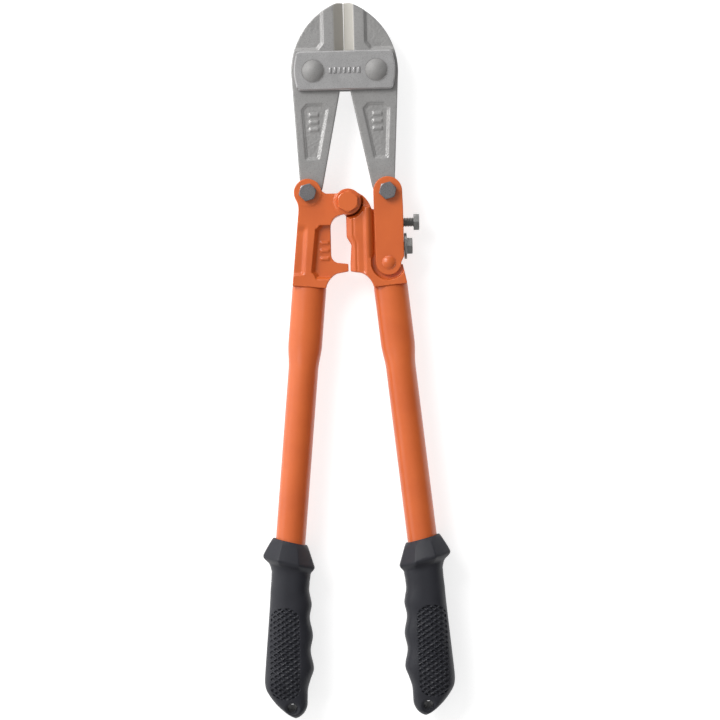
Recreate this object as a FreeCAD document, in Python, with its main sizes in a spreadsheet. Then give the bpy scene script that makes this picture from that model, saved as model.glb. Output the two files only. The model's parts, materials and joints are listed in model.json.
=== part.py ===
import FreeCAD, Part
import os
import re
import Sketcher

# Bolt cutters of the 450 mm size, closed and lying flat.
# X runs to the right, Y from the handles to the jaws and Z up through the thickness.
# The origin lies on the centre bolt's axis, at the flat end that the tool rests on.
# Every plane of the mechanism is set out from the middle plane, mid_height above the origin.

SIZES = {
    # Whole tool
    "mid_height": 16.0,
    "side_play": 0.25,
    "running_play": 0.05,
    # Pivots, as distances from the centre bolt on the right-hand half
    "jaw_bolt_x": 25.2,
    "jaw_bolt_y": 6.3,
    "link_rivet_x": 19.9,
    "link_rivet_y": 82.5,
    "arm_rivet_x": 24.7,
    "arm_rivet_y": -38.7,
    # Jaws
    "jaw_thick": 11.0,
    "jaw_tip_y": 125.5,
    "jaw_tip_flat": 4.0,
    "jaw_half_width": 33.7,
    "jaw_widest_y": 82.0,
    "jaw_tail_x": 30.1,
    "jaw_tail_y": 16.0,
    "jaw_heel_x": 15.6,
    "jaw_heel_y": 9.5,
    "jaw_throat_x": 3.3,
    "jaw_throat_y": 70.0,
    "jaw_eye_radius": 8.0,
    "jaw_eye_angle": 15.0,
    "blade_gap": 0.2,
    "blade_root_y": 83.0,
    "blade_land": 0.8,
    "bevel_width": 6.2,
    "bevel_end_y": 86.0,
    "recess_depth": 1.2,
    "recess_x": 14.0,
    "recess_knee_y": 100.5,
    "recess_step_x": 17.0,
    "recess_step_y": 96.8,
    "panel_depth": 0.8,
    "panel_top_y": 61.3,
    "panel_bottom_y": 28.0,
    "panel_inner_top_x": 11.7,
    "panel_outer_top_x": 26.9,
    "panel_inner_bottom_x": 18.0,
    "panel_outer_bottom_x": 25.2,
    "panel_corner": 2.8,
    "mark_width": 5.4,
    "mark_height": 1.7,
    "mark_pitch": 4.6,
    "mark_x": 20.0,
    "mark_y": 45.0,
    "mark_relief": 0.5,
    "loop_slack": 4.0,
    "loop_play": 1.1,
    # Link plates and their rivets
    "plate_thick": 4.0,
    "plate_half_width": 29.6,
    "plate_bulge": 2.4,
    "plate_top_y": 95.0,
    "plate_bottom_y": 70.3,
    "plate_chamfer": 0.9,
    "link_shank_radius": 4.5,
    "link_head_radius": 7.2,
    "link_head_height": 2.9,
    # Bolts at the jaw tails and at the centre
    "jaw_bolt_radius": 3.0,
    "jaw_bolt_flats": 10.0,
    "jaw_bolt_turn": 15.0,
    "jaw_bolt_head": 4.6,
    "jaw_nut_height": 4.2,
    "spring_washer_radius": 5.5,
    "spring_washer_thick": 1.2,
    "centre_bolt_radius": 4.0,
    "centre_bolt_flats": 12.0,
    "centre_bolt_turn": 30.0,
    "centre_bolt_head": 5.0,
    "centre_washer_radius": 8.0,
    "centre_washer_thick": 1.4,
    "hex_chamfer": 0.7,
    "hex_crown_angle": 30.0,
    # Forged fittings
    "fitting_half": 9.6,
    "ear_half": 10.0,
    "ear_radius": 8.7,
    "lug_half": 10.5,
    "lug_radius": 8.3,
    "lug_gap": 0.3,
    "lug_clear_radius": 9.5,
    "lug_root_angle": 40.0,
    "waist_x": 31.3,
    "waist_y": -5.5,
    "waist_angle": 20.0,
    "waist_curve": 14.0,
    "stop_gap": 1.3,
    "stop_top_y": -39.0,
    "stop_bottom_y": -43.8,
    "collar_heel_x": 8.0,
    "collar_heel_y": -45.0,
    "collar_curve": 13.0,
    "collar_half": 10.6,
    "left_side_x": 11.3,
    "left_side_top_y": -16.0,
    "left_corner": 7.8,
    "left_side_bottom_y": -33.5,
    "left_nose_x": 6.0,
    "neck_x": 14.0,
    "neck_y": 5.4,
    "fork_mouth_drop": 6.0,
    "pocket_depth": 4.4,
    "pocket_corner": 2.2,
    "pocket_top_y": -14.4,
    "pocket_bottom_y": -46.5,
    "pocket_outer_top_x": 20.8,
    "pocket_outer_bottom_x": 24.3,
    "right_inner_x": -1.4,
    "right_inner_knee_y": -22.0,
    "right_inner_step_x": 1.5,
    "right_inner_step_y": -27.0,
    "right_side_x": 15.2,
    "right_side_y": -10.0,
    "right_shoulder_x": 5.6,
    "right_shoulder_y": 6.4,
    "right_shoulder_curve": 17.5,
    "right_collar_x": 33.6,
    "right_collar_y": -40.0,
    "tongue_half": 5.4,
    "tongue_top_y": -5.0,
    "tongue_x": 30.6,
    "tongue_corner_y": -36.0,
    "recess_radius": 11.0,
    # Adjuster arm, its rivet and its two screws
    "arm_sheet": 2.5,
    "arm_top_radius": 9.1,
    "arm_foot_radius": 8.0,
    "arm_web_x": 34.6,
    "arm_web_top_y": -4.0,
    "arm_web_bottom_y": -35.0,
    "arm_rivet_radius": 3.0,
    "arm_rivet_head_radius": 4.3,
    "arm_rivet_head_height": 1.7,
    "screw_radius": 3.0,
    "screw_flats": 10.0,
    "screw_head": 3.6,
    "screw_seat": 6.0,
    "screw_hole_radius": 3.5,
    "adjusting_screw_y": -13.6,
    "adjusting_head_x": 41.0,
    "locking_screw_y": -28.5,
    "locking_reach": 13.0,
    "locking_washer_radius": 8.3,
    "locking_washer_thick": 1.6,
    "locking_seat": 14.0,
    # Handle tubes
    "tube_lean": 5.68,
    "tube_start_x": 25.6,
    "tube_start_y": -53.1,
    "tube_length": 245.0,
    "tube_radius": 9.4,
    "tube_wall": 1.5,
    "oval_half_width": 10.7,
    "oval_half_depth": 8.8,
    "oval_length": 38.0,
    "oval_taper": 14.0,
    "tang_radius": 7.25,
    "tang_length": 46.0,
    "tang_root": 2.0,
    # Grips
    "hanger_in": 6.95,
    "hanger_drop": 18.6,
    "hanger_tilt": 24.0,
    "hanger_radius": 3.2,
    "hanger_half_depth": 6.2,
    "hanger_flat_drop": 7.1,
}

# Sections across the grip from its top rim down: distance along Y from the tube's end, where the inner and
# the outer edge lie from the tube's axis, half depth.
GRIP_SECTIONS = [
    ("rim", 83.3, -10.15, 10.45, 11.2),
    ("flange", 70.9, -15.9, 16.1, 16.0),
    ("neck", 59.4, -13.55, 10.15, 11.4),
    ("first_finger", 44.4, -16.25, 10.15, 11.6),
    ("first_groove", 35.4, -15.75, 10.05, 11.5),
    ("second_finger", 24.6, -18.5, 10.1, 11.6),
    ("second_groove", 14.6, -17.9, 10.0, 11.5),
    ("third_finger", 3.6, -20.7, 10.0, 11.6),
    ("heel", -7.1, -18.95, 9.45, 11.0),
    ("hanger", -18.1, -18.45, 1.95, 9.0),
    ("end", -27.6, -14.8, -8.2, 6.6),
]
for section, along, inner, outer, depth in GRIP_SECTIONS:
    SIZES["grip_" + section + "_y"] = along
    SIZES["grip_" + section + "_inner"] = inner
    SIZES["grip_" + section + "_outer"] = outer
    SIZES["grip_" + section + "_depth"] = depth

# Lengths worked out from the sizes above, written as expressions of their names
JAW_HALF = "jaw_thick / 2"
PLATE_FACE = f"({JAW_HALF} + side_play)"
CHEEK_FACE = PLATE_FACE
THROUGH = "4 * mid_height"
CHEEK_OUTSIDE = f"({CHEEK_FACE} + arm_sheet)"
JAW_RISE = "(jaw_tip_y - jaw_widest_y)"
JAW_REACH = "(jaw_half_width - jaw_tip_flat)"
JAW_NOSE_RADIUS = f"({JAW_REACH}^2 + {JAW_RISE}^2) / (2 * {JAW_REACH})"
PLATE_HALF_HEIGHT = "((plate_top_y - plate_bottom_y) / 2)"
PLATE_END_RADIUS = f"({PLATE_HALF_HEIGHT}^2 + plate_bulge^2) / (2 * plate_bulge)"
ARM_WEB_INSIDE = "(arm_web_x - arm_sheet)"
TUBE_END_X = "(tube_start_x + tube_length * sin(tube_lean))"
TUBE_END_Y = "(tube_start_y - tube_length * cos(tube_lean))"
SEAM_OUTER_X = "tube_start_x + collar_half * cos(tube_lean)"
SEAM_OUTER_Y = "tube_start_y + collar_half * sin(tube_lean)"
SEAM_INNER_X = "tube_start_x - collar_half * cos(tube_lean)"
SEAM_INNER_Y = "tube_start_y - collar_half * sin(tube_lean)"

MARK_COUNT = 3

doc = FreeCAD.newDocument("bolt_cutters")
sheet = doc.addObject("Spreadsheet::Sheet", "dims")
for row, (alias, size) in enumerate(SIZES.items(), start=1):
    sheet.set(f"A{row}", alias)
    sheet.set(f"B{row}", str(size))
    sheet.setAlias(f"B{row}", alias)
doc.recompute()

PIECES = []


# ---------------------------------------------------------------- expressions

def bound(text):
    """Turn an expression of size names into one that refers to the sheet's cells."""
    return re.sub(r"[a-z]\w*", lambda word: "dims." + word[0] if word[0] in SIZES else word[0], str(text))


def value(text):
    """The number that an expression of size names has now."""
    return float(sheet.evalExpression(bound(text)))


def opposite(text):
    return f"-({text})"


def mirrored(corners):
    """The same outline on the other side of the middle line."""
    flipped = []
    for corner in corners:
        turned = [opposite(corner[0]), corner[1]]
        if len(corner) == 4:
            turned += [corner[2], -corner[3]]
        flipped.append(tuple(turned))
    return flipped


def on_side(side, corners):
    return corners if side > 0 else mirrored(corners)


# ---------------------------------------------------------------- bodies and sketches

def new_body(name, x="0", y="0", z="mid_height"):
    body = doc.addObject("PartDesign::Body", name)
    body.Label = name
    for axis, text in zip("xyz", (x, y, z)):
        body.setExpression(f"Placement.Base.{axis}", bound(text))
    PIECES.append(body)
    return body


def new_sketch(body, plane="XY_Plane", height="0"):
    """A sketch on one of the body's own origin planes, raised along that plane's normal."""
    sketch = body.newObject("Sketcher::SketchObject", body.Name + "_sketch")
    support = next(item for item in body.Origin.OriginFeatures if item.Role == plane)
    sketch.AttachmentSupport = [(support, "")]
    sketch.MapMode = "FlatFace"
    sketch.setExpression("AttachmentOffset.Base.z", bound(height))
    return sketch


def constrain(sketch, kind, *data):
    """Add a dimension and bind it to its expression, the last item of data."""
    geometry, text = data[:-1], data[-1]
    index = sketch.addConstraint(Sketcher.Constraint(kind, *geometry, value(text)))
    sketch.setExpression(f"Constraints[{index}]", bound(text))


def place_point(sketch, geometry, end, x, y):
    constrain(sketch, "DistanceX", -1, 1, geometry, end, x)
    constrain(sketch, "DistanceY", -1, 1, geometry, end, y)


def arc_between(start, end, radius, turn):
    """The short arc from start to end, turning left for turn 1 and right for turn -1."""
    chord = end - start
    rise = max(radius**2 - chord.Length**2 / 4, 0) ** 0.5
    left = FreeCAD.Vector(-chord.y, chord.x, 0) / chord.Length
    centre = (start + end) / 2 + left * rise * turn
    middle = centre - left * radius * turn
    return Part.Arc(start, middle, end)


def outline(sketch, corners):
    """Draw a closed loop. A corner is (x, y), or (x, y, radius, turn) where an arc leads to it."""
    points = [FreeCAD.Vector(value(corner[0]), value(corner[1]), 0) for corner in corners]
    sides = []
    for index, corner in enumerate(corners):
        start, end = points[index - 1], points[index]
        if len(corner) == 4:
            arc = arc_between(start, end, value(corner[2]), corner[3])
            number = sketch.addGeometry(arc)
            sides.append((number, 1, 2) if corner[3] > 0 else (number, 2, 1))
        else:
            sides.append((sketch.addGeometry(Part.LineSegment(start, end)), 1, 2))
    for index, (number, _, last) in enumerate(sides):
        following, first, _ = sides[(index + 1) % len(sides)]
        sketch.addConstraint(Sketcher.Constraint("Coincident", number, last, following, first))
        place_point(sketch, number, last, corners[index][0], corners[index][1])
        if len(corners[index]) == 4:
            constrain(sketch, "Radius", number, corners[index][2])


def circle(sketch, x, y, radius):
    centre = FreeCAD.Vector(value(x), value(y), 0)
    number = sketch.addGeometry(Part.Circle(centre, FreeCAD.Vector(0, 0, 1), value(radius)))
    place_point(sketch, number, 3, x, y)
    constrain(sketch, "Radius", number, radius)


def hexagon(sketch, flats, turn):
    """A regular hexagon about the sketch's origin, its first corner turned from the X axis."""
    outline(sketch, [(f"{flats} / sqrt(3) * cos({turn} + {60 * side})",
                      f"{flats} / sqrt(3) * sin({turn} + {60 * side})") for side in range(6)])


# ---------------------------------------------------------------- features

def feature_from(body, kind, sketch, length, symmetric, reversed_way):
    before = body.Shape.Volume if body.Tip else 0
    feature = body.newObject("PartDesign::" + kind, body.Name + "_" + kind.lower())
    feature.Profile = sketch
    feature.setExpression("Length", bound(length))
    feature.SideType = "Symmetric" if symmetric else "One side"
    feature.Reversed = reversed_way
    body.Tip = feature
    doc.recompute()
    grown = body.Shape.Volume - before
    if (grown <= 0) == (kind == "Pad"):
        raise ValueError(f"{feature.Name} changes nothing")
    return feature


def pad(body, sketch, length, symmetric=False, reversed_way=False):
    return feature_from(body, "Pad", sketch, length, symmetric, reversed_way)


def pocket(body, sketch, length, symmetric=False, reversed_way=False):
    return feature_from(body, "Pocket", sketch, length, symmetric, reversed_way)


def turn_profile(body, kind, corners):
    """Revolve or groove a profile, in radius and height, about the body's Z axis."""
    sketch = new_sketch(body, "XZ_Plane")
    outline(sketch, corners)
    feature = body.newObject("PartDesign::" + kind, body.Name + "_" + kind.lower())
    feature.Profile = sketch
    feature.ReferenceAxis = (sketch, ["V_Axis"])
    feature.Angle = 360
    body.Tip = feature
    doc.recompute()
    return feature


def both_faces(body, depth, draw, face):
    """Sink the same outline into the front and the back of a plate-like body."""
    for height, reversed_way in ((face, False), (opposite(face), True)):
        sketch = new_sketch(body, height=height)
        draw(sketch)
        pocket(body, sketch, depth, reversed_way=reversed_way)


def bore(body, x, y, radius, depth=THROUGH):
    sketch = new_sketch(body)
    circle(sketch, x, y, radius)
    pocket(body, sketch, depth, symmetric=True)


def edges_where(feature, test):
    return [f"Edge{number}" for number, edge in enumerate(feature.Shape.Edges, start=1) if test(edge)]


def chamfer(body, size, test):
    base = body.Tip
    edges = edges_where(base, test)
    feature = body.newObject("PartDesign::Chamfer", body.Name + "_chamfer")
    feature.Base = (base, edges)
    feature.setExpression("Size", bound(size))
    body.Tip = feature
    doc.recompute()
    return feature


# ---------------------------------------------------------------- jaws and link plates

def jaw(side, name):
    body = new_body(name)
    sketch = new_sketch(body)
    outline(sketch, on_side(side, [
        ("blade_gap / 2", "jaw_tip_y"),
        ("jaw_tip_flat", "jaw_tip_y"),
        ("jaw_half_width", "jaw_widest_y", JAW_NOSE_RADIUS, -1),
        ("jaw_tail_x", "jaw_tail_y"),
        ("jaw_bolt_x + jaw_eye_radius / 2", "jaw_bolt_y"),
        ("jaw_bolt_x - jaw_eye_radius * cos(jaw_eye_angle)",
         "jaw_bolt_y - jaw_eye_radius * sin(jaw_eye_angle)"),
        ("jaw_heel_x", "jaw_heel_y"),
        ("jaw_throat_x", "jaw_throat_y"),
        ("blade_gap / 2", "blade_root_y"),
    ]))
    pad(body, sketch, "jaw_thick", symmetric=True)

    eye = new_sketch(body)
    bolt_x = "jaw_bolt_x" if side > 0 else "-jaw_bolt_x"
    circle(eye, bolt_x, "jaw_bolt_y", "jaw_eye_radius")
    pad(body, eye, "jaw_thick", symmetric=True)

    grind_cutting_edge(body, side)
    both_faces(body, "recess_depth", lambda face: outline(face, on_side(side, [
        ("recess_x", "jaw_tip_y + recess_depth"),
        ("recess_x", "recess_knee_y"),
        ("recess_step_x", "recess_step_y"),
        ("jaw_half_width + recess_depth", "recess_step_y"),
        ("jaw_half_width + recess_depth", "jaw_tip_y + recess_depth"),
    ])), JAW_HALF)
    both_faces(body, "panel_depth", lambda face: outline(face, on_side(side, [
        ("panel_inner_top_x + panel_corner", "panel_top_y"),
        ("panel_outer_top_x - panel_corner", "panel_top_y"),
        ("panel_outer_top_x", "panel_top_y - panel_corner"),
        ("panel_outer_bottom_x", "panel_bottom_y"),
        ("panel_inner_bottom_x", "panel_bottom_y"),
        ("panel_inner_top_x", "panel_top_y - panel_corner"),
    ])), JAW_HALF)
    raise_tail_marks(body, side)

    bore(body, bolt_x, "jaw_bolt_y", "jaw_bolt_radius + running_play")
    return body


def grind_cutting_edge(body, side):
    """Grind both faces down to the narrow land where the blades meet."""
    sketch = new_sketch(body, "XZ_Plane", "-(jaw_tip_y + bevel_width)")
    for face in (1, -1):
        outline(sketch, on_side(side, [
            ("-blade_gap", f"{face} * blade_land / 2"),
            ("blade_gap / 2", f"{face} * blade_land / 2"),
            ("bevel_width", f"{face} * {JAW_HALF}"),
            ("bevel_width", f"{face} * jaw_thick"),
            ("-blade_gap", f"{face} * jaw_thick"),
        ]))
    pocket(body, sketch, "jaw_tip_y + bevel_width - bevel_end_y", reversed_way=True)


def raise_tail_marks(body, side):
    """Three plain raised bars in the tail's panel, on the front face."""
    sketch = new_sketch(body, height=f"{JAW_HALF} - panel_depth")
    for count in range(MARK_COUNT):
        low = f"mark_y + {count} * mark_pitch"
        outline(sketch, on_side(side, [
            ("mark_x - mark_width / 2", low),
            ("mark_x + mark_width / 2", low),
            ("mark_x + mark_width / 2", low + " + mark_height"),
            ("mark_x - mark_width / 2", low + " + mark_height"),
        ]))
    pad(body, sketch, "mark_relief")


def left_jaw():
    body = jaw(-1, "left_jaw")
    bore(body, "-link_rivet_x", "link_rivet_y", "link_shank_radius + running_play")


def right_jaw():
    """The rivet hole is a short slot towards the blade, hidden by the link plates."""
    body = jaw(1, "right_jaw")
    hole_radius = "link_shank_radius + loop_play"
    for centre in ("link_rivet_x", "link_rivet_x - loop_slack"):
        hole = new_sketch(body)
        circle(hole, centre, "link_rivet_y", hole_radius)
        pocket(body, hole, THROUGH, symmetric=True)
    sketch = new_sketch(body)
    outline(sketch, [
        ("link_rivet_x", f"link_rivet_y - ({hole_radius})"),
        ("link_rivet_x", f"link_rivet_y + ({hole_radius})"),
        ("link_rivet_x - loop_slack", f"link_rivet_y + ({hole_radius})"),
        ("link_rivet_x - loop_slack", f"link_rivet_y - ({hole_radius})"),
    ])
    pocket(body, sketch, THROUGH, symmetric=True)


def link_plate(name, face):
    body = new_body(name)
    sketch = new_sketch(body, height=f"{face} * {PLATE_FACE}")
    outline(sketch, [
        ("plate_half_width", "plate_top_y"),
        ("plate_half_width", "plate_bottom_y", PLATE_END_RADIUS, -1),
        ("-plate_half_width", "plate_bottom_y"),
        ("-plate_half_width", "plate_top_y", PLATE_END_RADIUS, -1),
    ])
    pad(body, sketch, "plate_thick", reversed_way=face < 0)
    outside = face * value(f"{PLATE_FACE} + plate_thick")
    chamfer(body, "plate_chamfer", lambda edge: max(abs(edge.BoundBox.ZMin - outside),
                                                    abs(edge.BoundBox.ZMax - outside)) < 1e-6)
    for rivet_x in ("-link_rivet_x", "link_rivet_x"):
        bore(body, rivet_x, "link_rivet_y", "link_shank_radius")


def domed_rivet(name, x, y, shank, head, dome, seat):
    """A rivet with a dome at each end. seat is the height of the plate that each head sits on."""
    body = new_body(name, x, y)
    dome_radius = f"({head}^2 + {dome}^2) / (2 * {dome})"
    turn_profile(body, "Revolution", [
        ("0", f"-({seat} + {dome})"),
        (head, f"-({seat})", dome_radius, 1),
        (shank, f"-({seat})"),
        (shank, seat),
        (head, seat),
        ("0", f"{seat} + {dome}", dome_radius, 1),
    ])


# ---------------------------------------------------------------- bolts, nuts, washers, screws

def hex_prism(body, flats, base, height, turn="0"):
    """A hexagon raised from base by height, downwards where the height is negative."""
    sketch = new_sketch(body, height=base)
    hexagon(sketch, flats, turn)
    upward = value(height) > 0
    pad(body, sketch, height if upward else opposite(height), reversed_way=not upward)


def crown_corners(body, flats, top, direction):
    """Turn the corners of a hexagon off at the face that lies at top."""
    reach = f"{flats} / sqrt(3)"
    drop = f"({reach} + hex_chamfer - {flats} / 2) * tan(hex_crown_angle)"
    turn_profile(body, "Groove", [
        (f"{flats} / 2", top),
        (f"{reach} + hex_chamfer", f"{top} - {direction} * {drop}"),
        (f"{reach} + hex_chamfer", f"{top} + {direction} * hex_chamfer"),
        (f"{flats} / 2", f"{top} + {direction} * hex_chamfer"),
    ])


def hex_bolt(name, x, y, flats, head, shank, seat, end, turn="0"):
    """A bolt whose head sits on seat, above, and whose shank runs down to end."""
    body = new_body(name, x, y)
    hex_prism(body, flats, seat, head, turn)
    shaft = new_sketch(body, height=seat)
    circle(shaft, "0", "0", shank)
    pad(body, shaft, f"({seat}) - ({end})", reversed_way=True)
    crown_corners(body, flats, f"({seat}) + {head}", 1)
    return body


def hex_nut(name, x, y, flats, height, hole, seat, turn):
    """A nut that hangs below seat."""
    body = new_body(name, x, y)
    hex_prism(body, flats, seat, opposite(height), turn)
    bore(body, "0", "0", hole)
    crown_corners(body, flats, f"({seat}) - {height}", -1)


def washer(name, x, y, outer, hole, thick, seat):
    """A ring that hangs below seat."""
    body = new_body(name, x, y)
    sketch = new_sketch(body, height=seat)
    circle(sketch, "0", "0", outer)
    circle(sketch, "0", "0", hole)
    pad(body, sketch, thick, reversed_way=True)


def jaw_fasteners(name, x, seat):
    """Bolt, spring washer and nut that hold a jaw's tail between two cheeks."""
    hex_bolt(name + "_bolt", x, "jaw_bolt_y", "jaw_bolt_flats", "jaw_bolt_head", "jaw_bolt_radius", seat,
             f"-({seat} + spring_washer_thick + jaw_nut_height)", "jaw_bolt_turn")
    washer(name + "_spring_washer", x, "jaw_bolt_y", "spring_washer_radius", "jaw_bolt_radius",
           "spring_washer_thick", opposite(seat))
    hex_nut(name + "_nut", x, "jaw_bolt_y", "jaw_bolt_flats", "jaw_nut_height", "jaw_bolt_radius",
            f"-({seat} + spring_washer_thick)", "jaw_bolt_turn")


def centre_fasteners():
    hex_bolt("centre_bolt", "0", "0", "centre_bolt_flats", "centre_bolt_head", "centre_bolt_radius",
             "lug_half", "-mid_height", "centre_bolt_turn")
    washer("centre_washer", "0", "0", "centre_washer_radius", "centre_bolt_radius", "centre_washer_thick",
           "-lug_half")
    hex_nut("centre_nut", "0", "0", "centre_bolt_flats", "mid_height - lug_half - centre_washer_thick",
            "centre_bolt_radius", "-(lug_half + centre_washer_thick)", "centre_bolt_turn")


def side_screw(name, y, seat_x, tip_x):
    """A hexagon screw that lies along X, its head outwards, drawn upright and then laid down."""
    body = hex_bolt(name, seat_x, y, "screw_flats", "screw_head", "screw_radius", "0",
                    f"-({seat_x} - ({tip_x}))")
    body.setExpression("Placement.Rotation.Axis.y", "1")
    body.setExpression("Placement.Rotation.Axis.z", "0")
    body.setExpression("Placement.Rotation.Angle", "90")


def screws():
    side_screw("adjusting_screw", "adjusting_screw_y", "adjusting_head_x", "tongue_x - screw_seat")
    head_seat = "arm_web_x + side_play + locking_washer_thick"
    side_screw("locking_screw", "locking_screw_y", head_seat, "tongue_x - locking_reach")
    body = new_body("locking_washer", "arm_web_x + side_play", "locking_screw_y")
    sketch = new_sketch(body)
    circle(sketch, "0", "0", "locking_washer_radius")
    circle(sketch, "0", "0", "screw_radius")
    pad(body, sketch, "locking_washer_thick")
    body.setExpression("Placement.Rotation.Axis.y", "1")
    body.setExpression("Placement.Rotation.Axis.z", "0")
    body.setExpression("Placement.Rotation.Angle", "90")


# ---------------------------------------------------------------- forged fittings

COLLAR = [
    ("stop_gap / 2", "stop_bottom_y"),
    ("collar_heel_x", "collar_heel_y"),
    (SEAM_INNER_X, SEAM_INNER_Y, "collar_curve", -1),
    (SEAM_OUTER_X, SEAM_OUTER_Y),
]


def add_tang(body, side):
    """A round tang along the handle tube's axis, starting just inside the collar."""
    sketch = new_sketch(body, "XZ_Plane", "-tube_start_y - tang_root")
    root_x = bound(f"{side} * (tube_start_x - tang_root * tan(tube_lean))")
    sketch.setExpression("AttachmentOffset.Base.x", root_x)
    sketch.setExpression("AttachmentOffset.Rotation.Axis.y", "1")
    sketch.setExpression("AttachmentOffset.Rotation.Axis.z", "0")
    sketch.setExpression("AttachmentOffset.Rotation.Angle", bound(f"{side} * tube_lean"))
    circle(sketch, "0", "0", "tang_radius")
    pad(body, sketch, "tang_length + tang_root")


def half_lap(body, side):
    """Leave half of the thickness round the centre bolt: the front on the left, the back on the right."""
    face = "lug_gap / 2" if side < 0 else "-lug_gap / 2"
    sketch = new_sketch(body, height=face)
    circle(sketch, "0", "0", "lug_clear_radius")
    pocket(body, sketch, "2 * lug_half", reversed_way=side > 0)
    lug = new_sketch(body, height=face)
    circle(lug, "0", "0", "lug_radius")
    pad(body, lug, "lug_half - lug_gap / 2", reversed_way=side > 0)
    bore(body, "0", "0", "centre_bolt_radius" if side < 0 else "centre_bolt_radius + running_play")


def left_fitting():
    body = new_body("left_fitting")
    sketch = new_sketch(body)
    outline(sketch, mirrored([
        ("stop_gap / 2", "stop_top_y"),
        *COLLAR,
        ("waist_x", "waist_y"),
        ("jaw_bolt_x + ear_radius * cos(waist_angle)", "jaw_bolt_y - ear_radius * sin(waist_angle)",
         "waist_curve", -1),
        ("jaw_bolt_x - ear_radius / 2", "jaw_bolt_y + ear_radius / 2"),
        ("neck_x", "neck_y"),
        ("lug_radius * cos(lug_root_angle)", "lug_radius * sin(lug_root_angle)"),
        ("left_side_x - left_corner", "left_side_top_y + left_corner"),
        ("left_side_x", "left_side_top_y", "left_corner", -1),
        ("left_side_x", "left_side_bottom_y"),
        ("left_nose_x", "stop_top_y + stop_gap / 2", "left_side_x - left_nose_x", -1),
    ]))
    pad(body, sketch, "2 * fitting_half", symmetric=True)
    ear = new_sketch(body)
    circle(ear, "-jaw_bolt_x", "jaw_bolt_y", "ear_radius")
    pad(body, ear, "2 * ear_half", symmetric=True)

    slot = new_sketch(body)
    clear_radius = "jaw_eye_radius + 2 * side_play"
    circle(slot, "-jaw_bolt_x", "jaw_bolt_y", clear_radius)
    pocket(body, slot, f"2 * {CHEEK_FACE}", symmetric=True)
    mouth = new_sketch(body)
    outline(mouth, mirrored([
        ("jaw_bolt_x + 2 * ear_radius", "jaw_bolt_y + 2 * ear_radius"),
        ("jaw_bolt_x + 2 * ear_radius", "jaw_bolt_y - fork_mouth_drop"),
        ("jaw_bolt_x", "jaw_bolt_y - fork_mouth_drop"),
        ("jaw_bolt_x", "neck_y + side_play"),
        ("neck_x - side_play", "neck_y + side_play"),
        ("neck_x - side_play", "jaw_bolt_y + 2 * ear_radius"),
    ]))
    pocket(body, mouth, f"2 * {CHEEK_FACE}", symmetric=True)

    both_faces(body, "pocket_depth", lambda face: outline(face, mirrored([
        ("0", "pocket_top_y"),
        ("pocket_outer_top_x - pocket_corner", "pocket_top_y"),
        ("pocket_outer_top_x", "pocket_top_y - pocket_corner", "pocket_corner", 1),
        ("pocket_outer_bottom_x", "pocket_bottom_y + pocket_corner"),
        ("pocket_outer_bottom_x - pocket_corner", "pocket_bottom_y", "pocket_corner", 1),
        ("0", "pocket_bottom_y - pocket_corner"),
    ])), "fitting_half")
    half_lap(body, -1)
    bore(body, "-jaw_bolt_x", "jaw_bolt_y", "jaw_bolt_radius")
    add_tang(body, -1)


def right_fitting():
    body = new_body("right_fitting")
    sketch = new_sketch(body)
    outline(sketch, [
        ("stop_gap / 2", "stop_top_y"),
        *COLLAR,
        ("right_collar_x", "right_collar_y"),
        ("right_side_x", "right_collar_y"),
        ("right_side_x", "right_side_y"),
        ("right_shoulder_x", "right_shoulder_y", "right_shoulder_curve", 1),
        ("right_inner_x", "0"),
        ("right_inner_x", "right_inner_knee_y"),
        ("right_inner_step_x", "right_inner_step_y"),
    ])
    pad(body, sketch, "2 * fitting_half", symmetric=True)
    both_faces(body, "fitting_half - tongue_half",
               lambda face: circle(face, "arm_rivet_x", "arm_rivet_y", "recess_radius"), "fitting_half")
    tongue = new_sketch(body)
    outline(tongue, [
        ("right_side_x - tongue_half / 2", "tongue_top_y"),
        ("tongue_x", "tongue_top_y"),
        ("tongue_x", "tongue_corner_y"),
        ("right_collar_x - side_play", "collar_heel_y"),
        ("right_side_x - tongue_half / 2", "collar_heel_y"),
    ])
    pad(body, tongue, "2 * tongue_half", symmetric=True)
    half_lap(body, 1)
    bore(body, "arm_rivet_x", "arm_rivet_y", "arm_rivet_radius")
    for y, depth in (("adjusting_screw_y", "screw_seat"), ("locking_screw_y", "locking_seat")):
        hole = new_sketch(body, "YZ_Plane", "tongue_x")
        circle(hole, y, "0", "screw_radius + running_play")
        pocket(body, hole, depth)
    add_tang(body, 1)


# ---------------------------------------------------------------- adjuster arm

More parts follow.
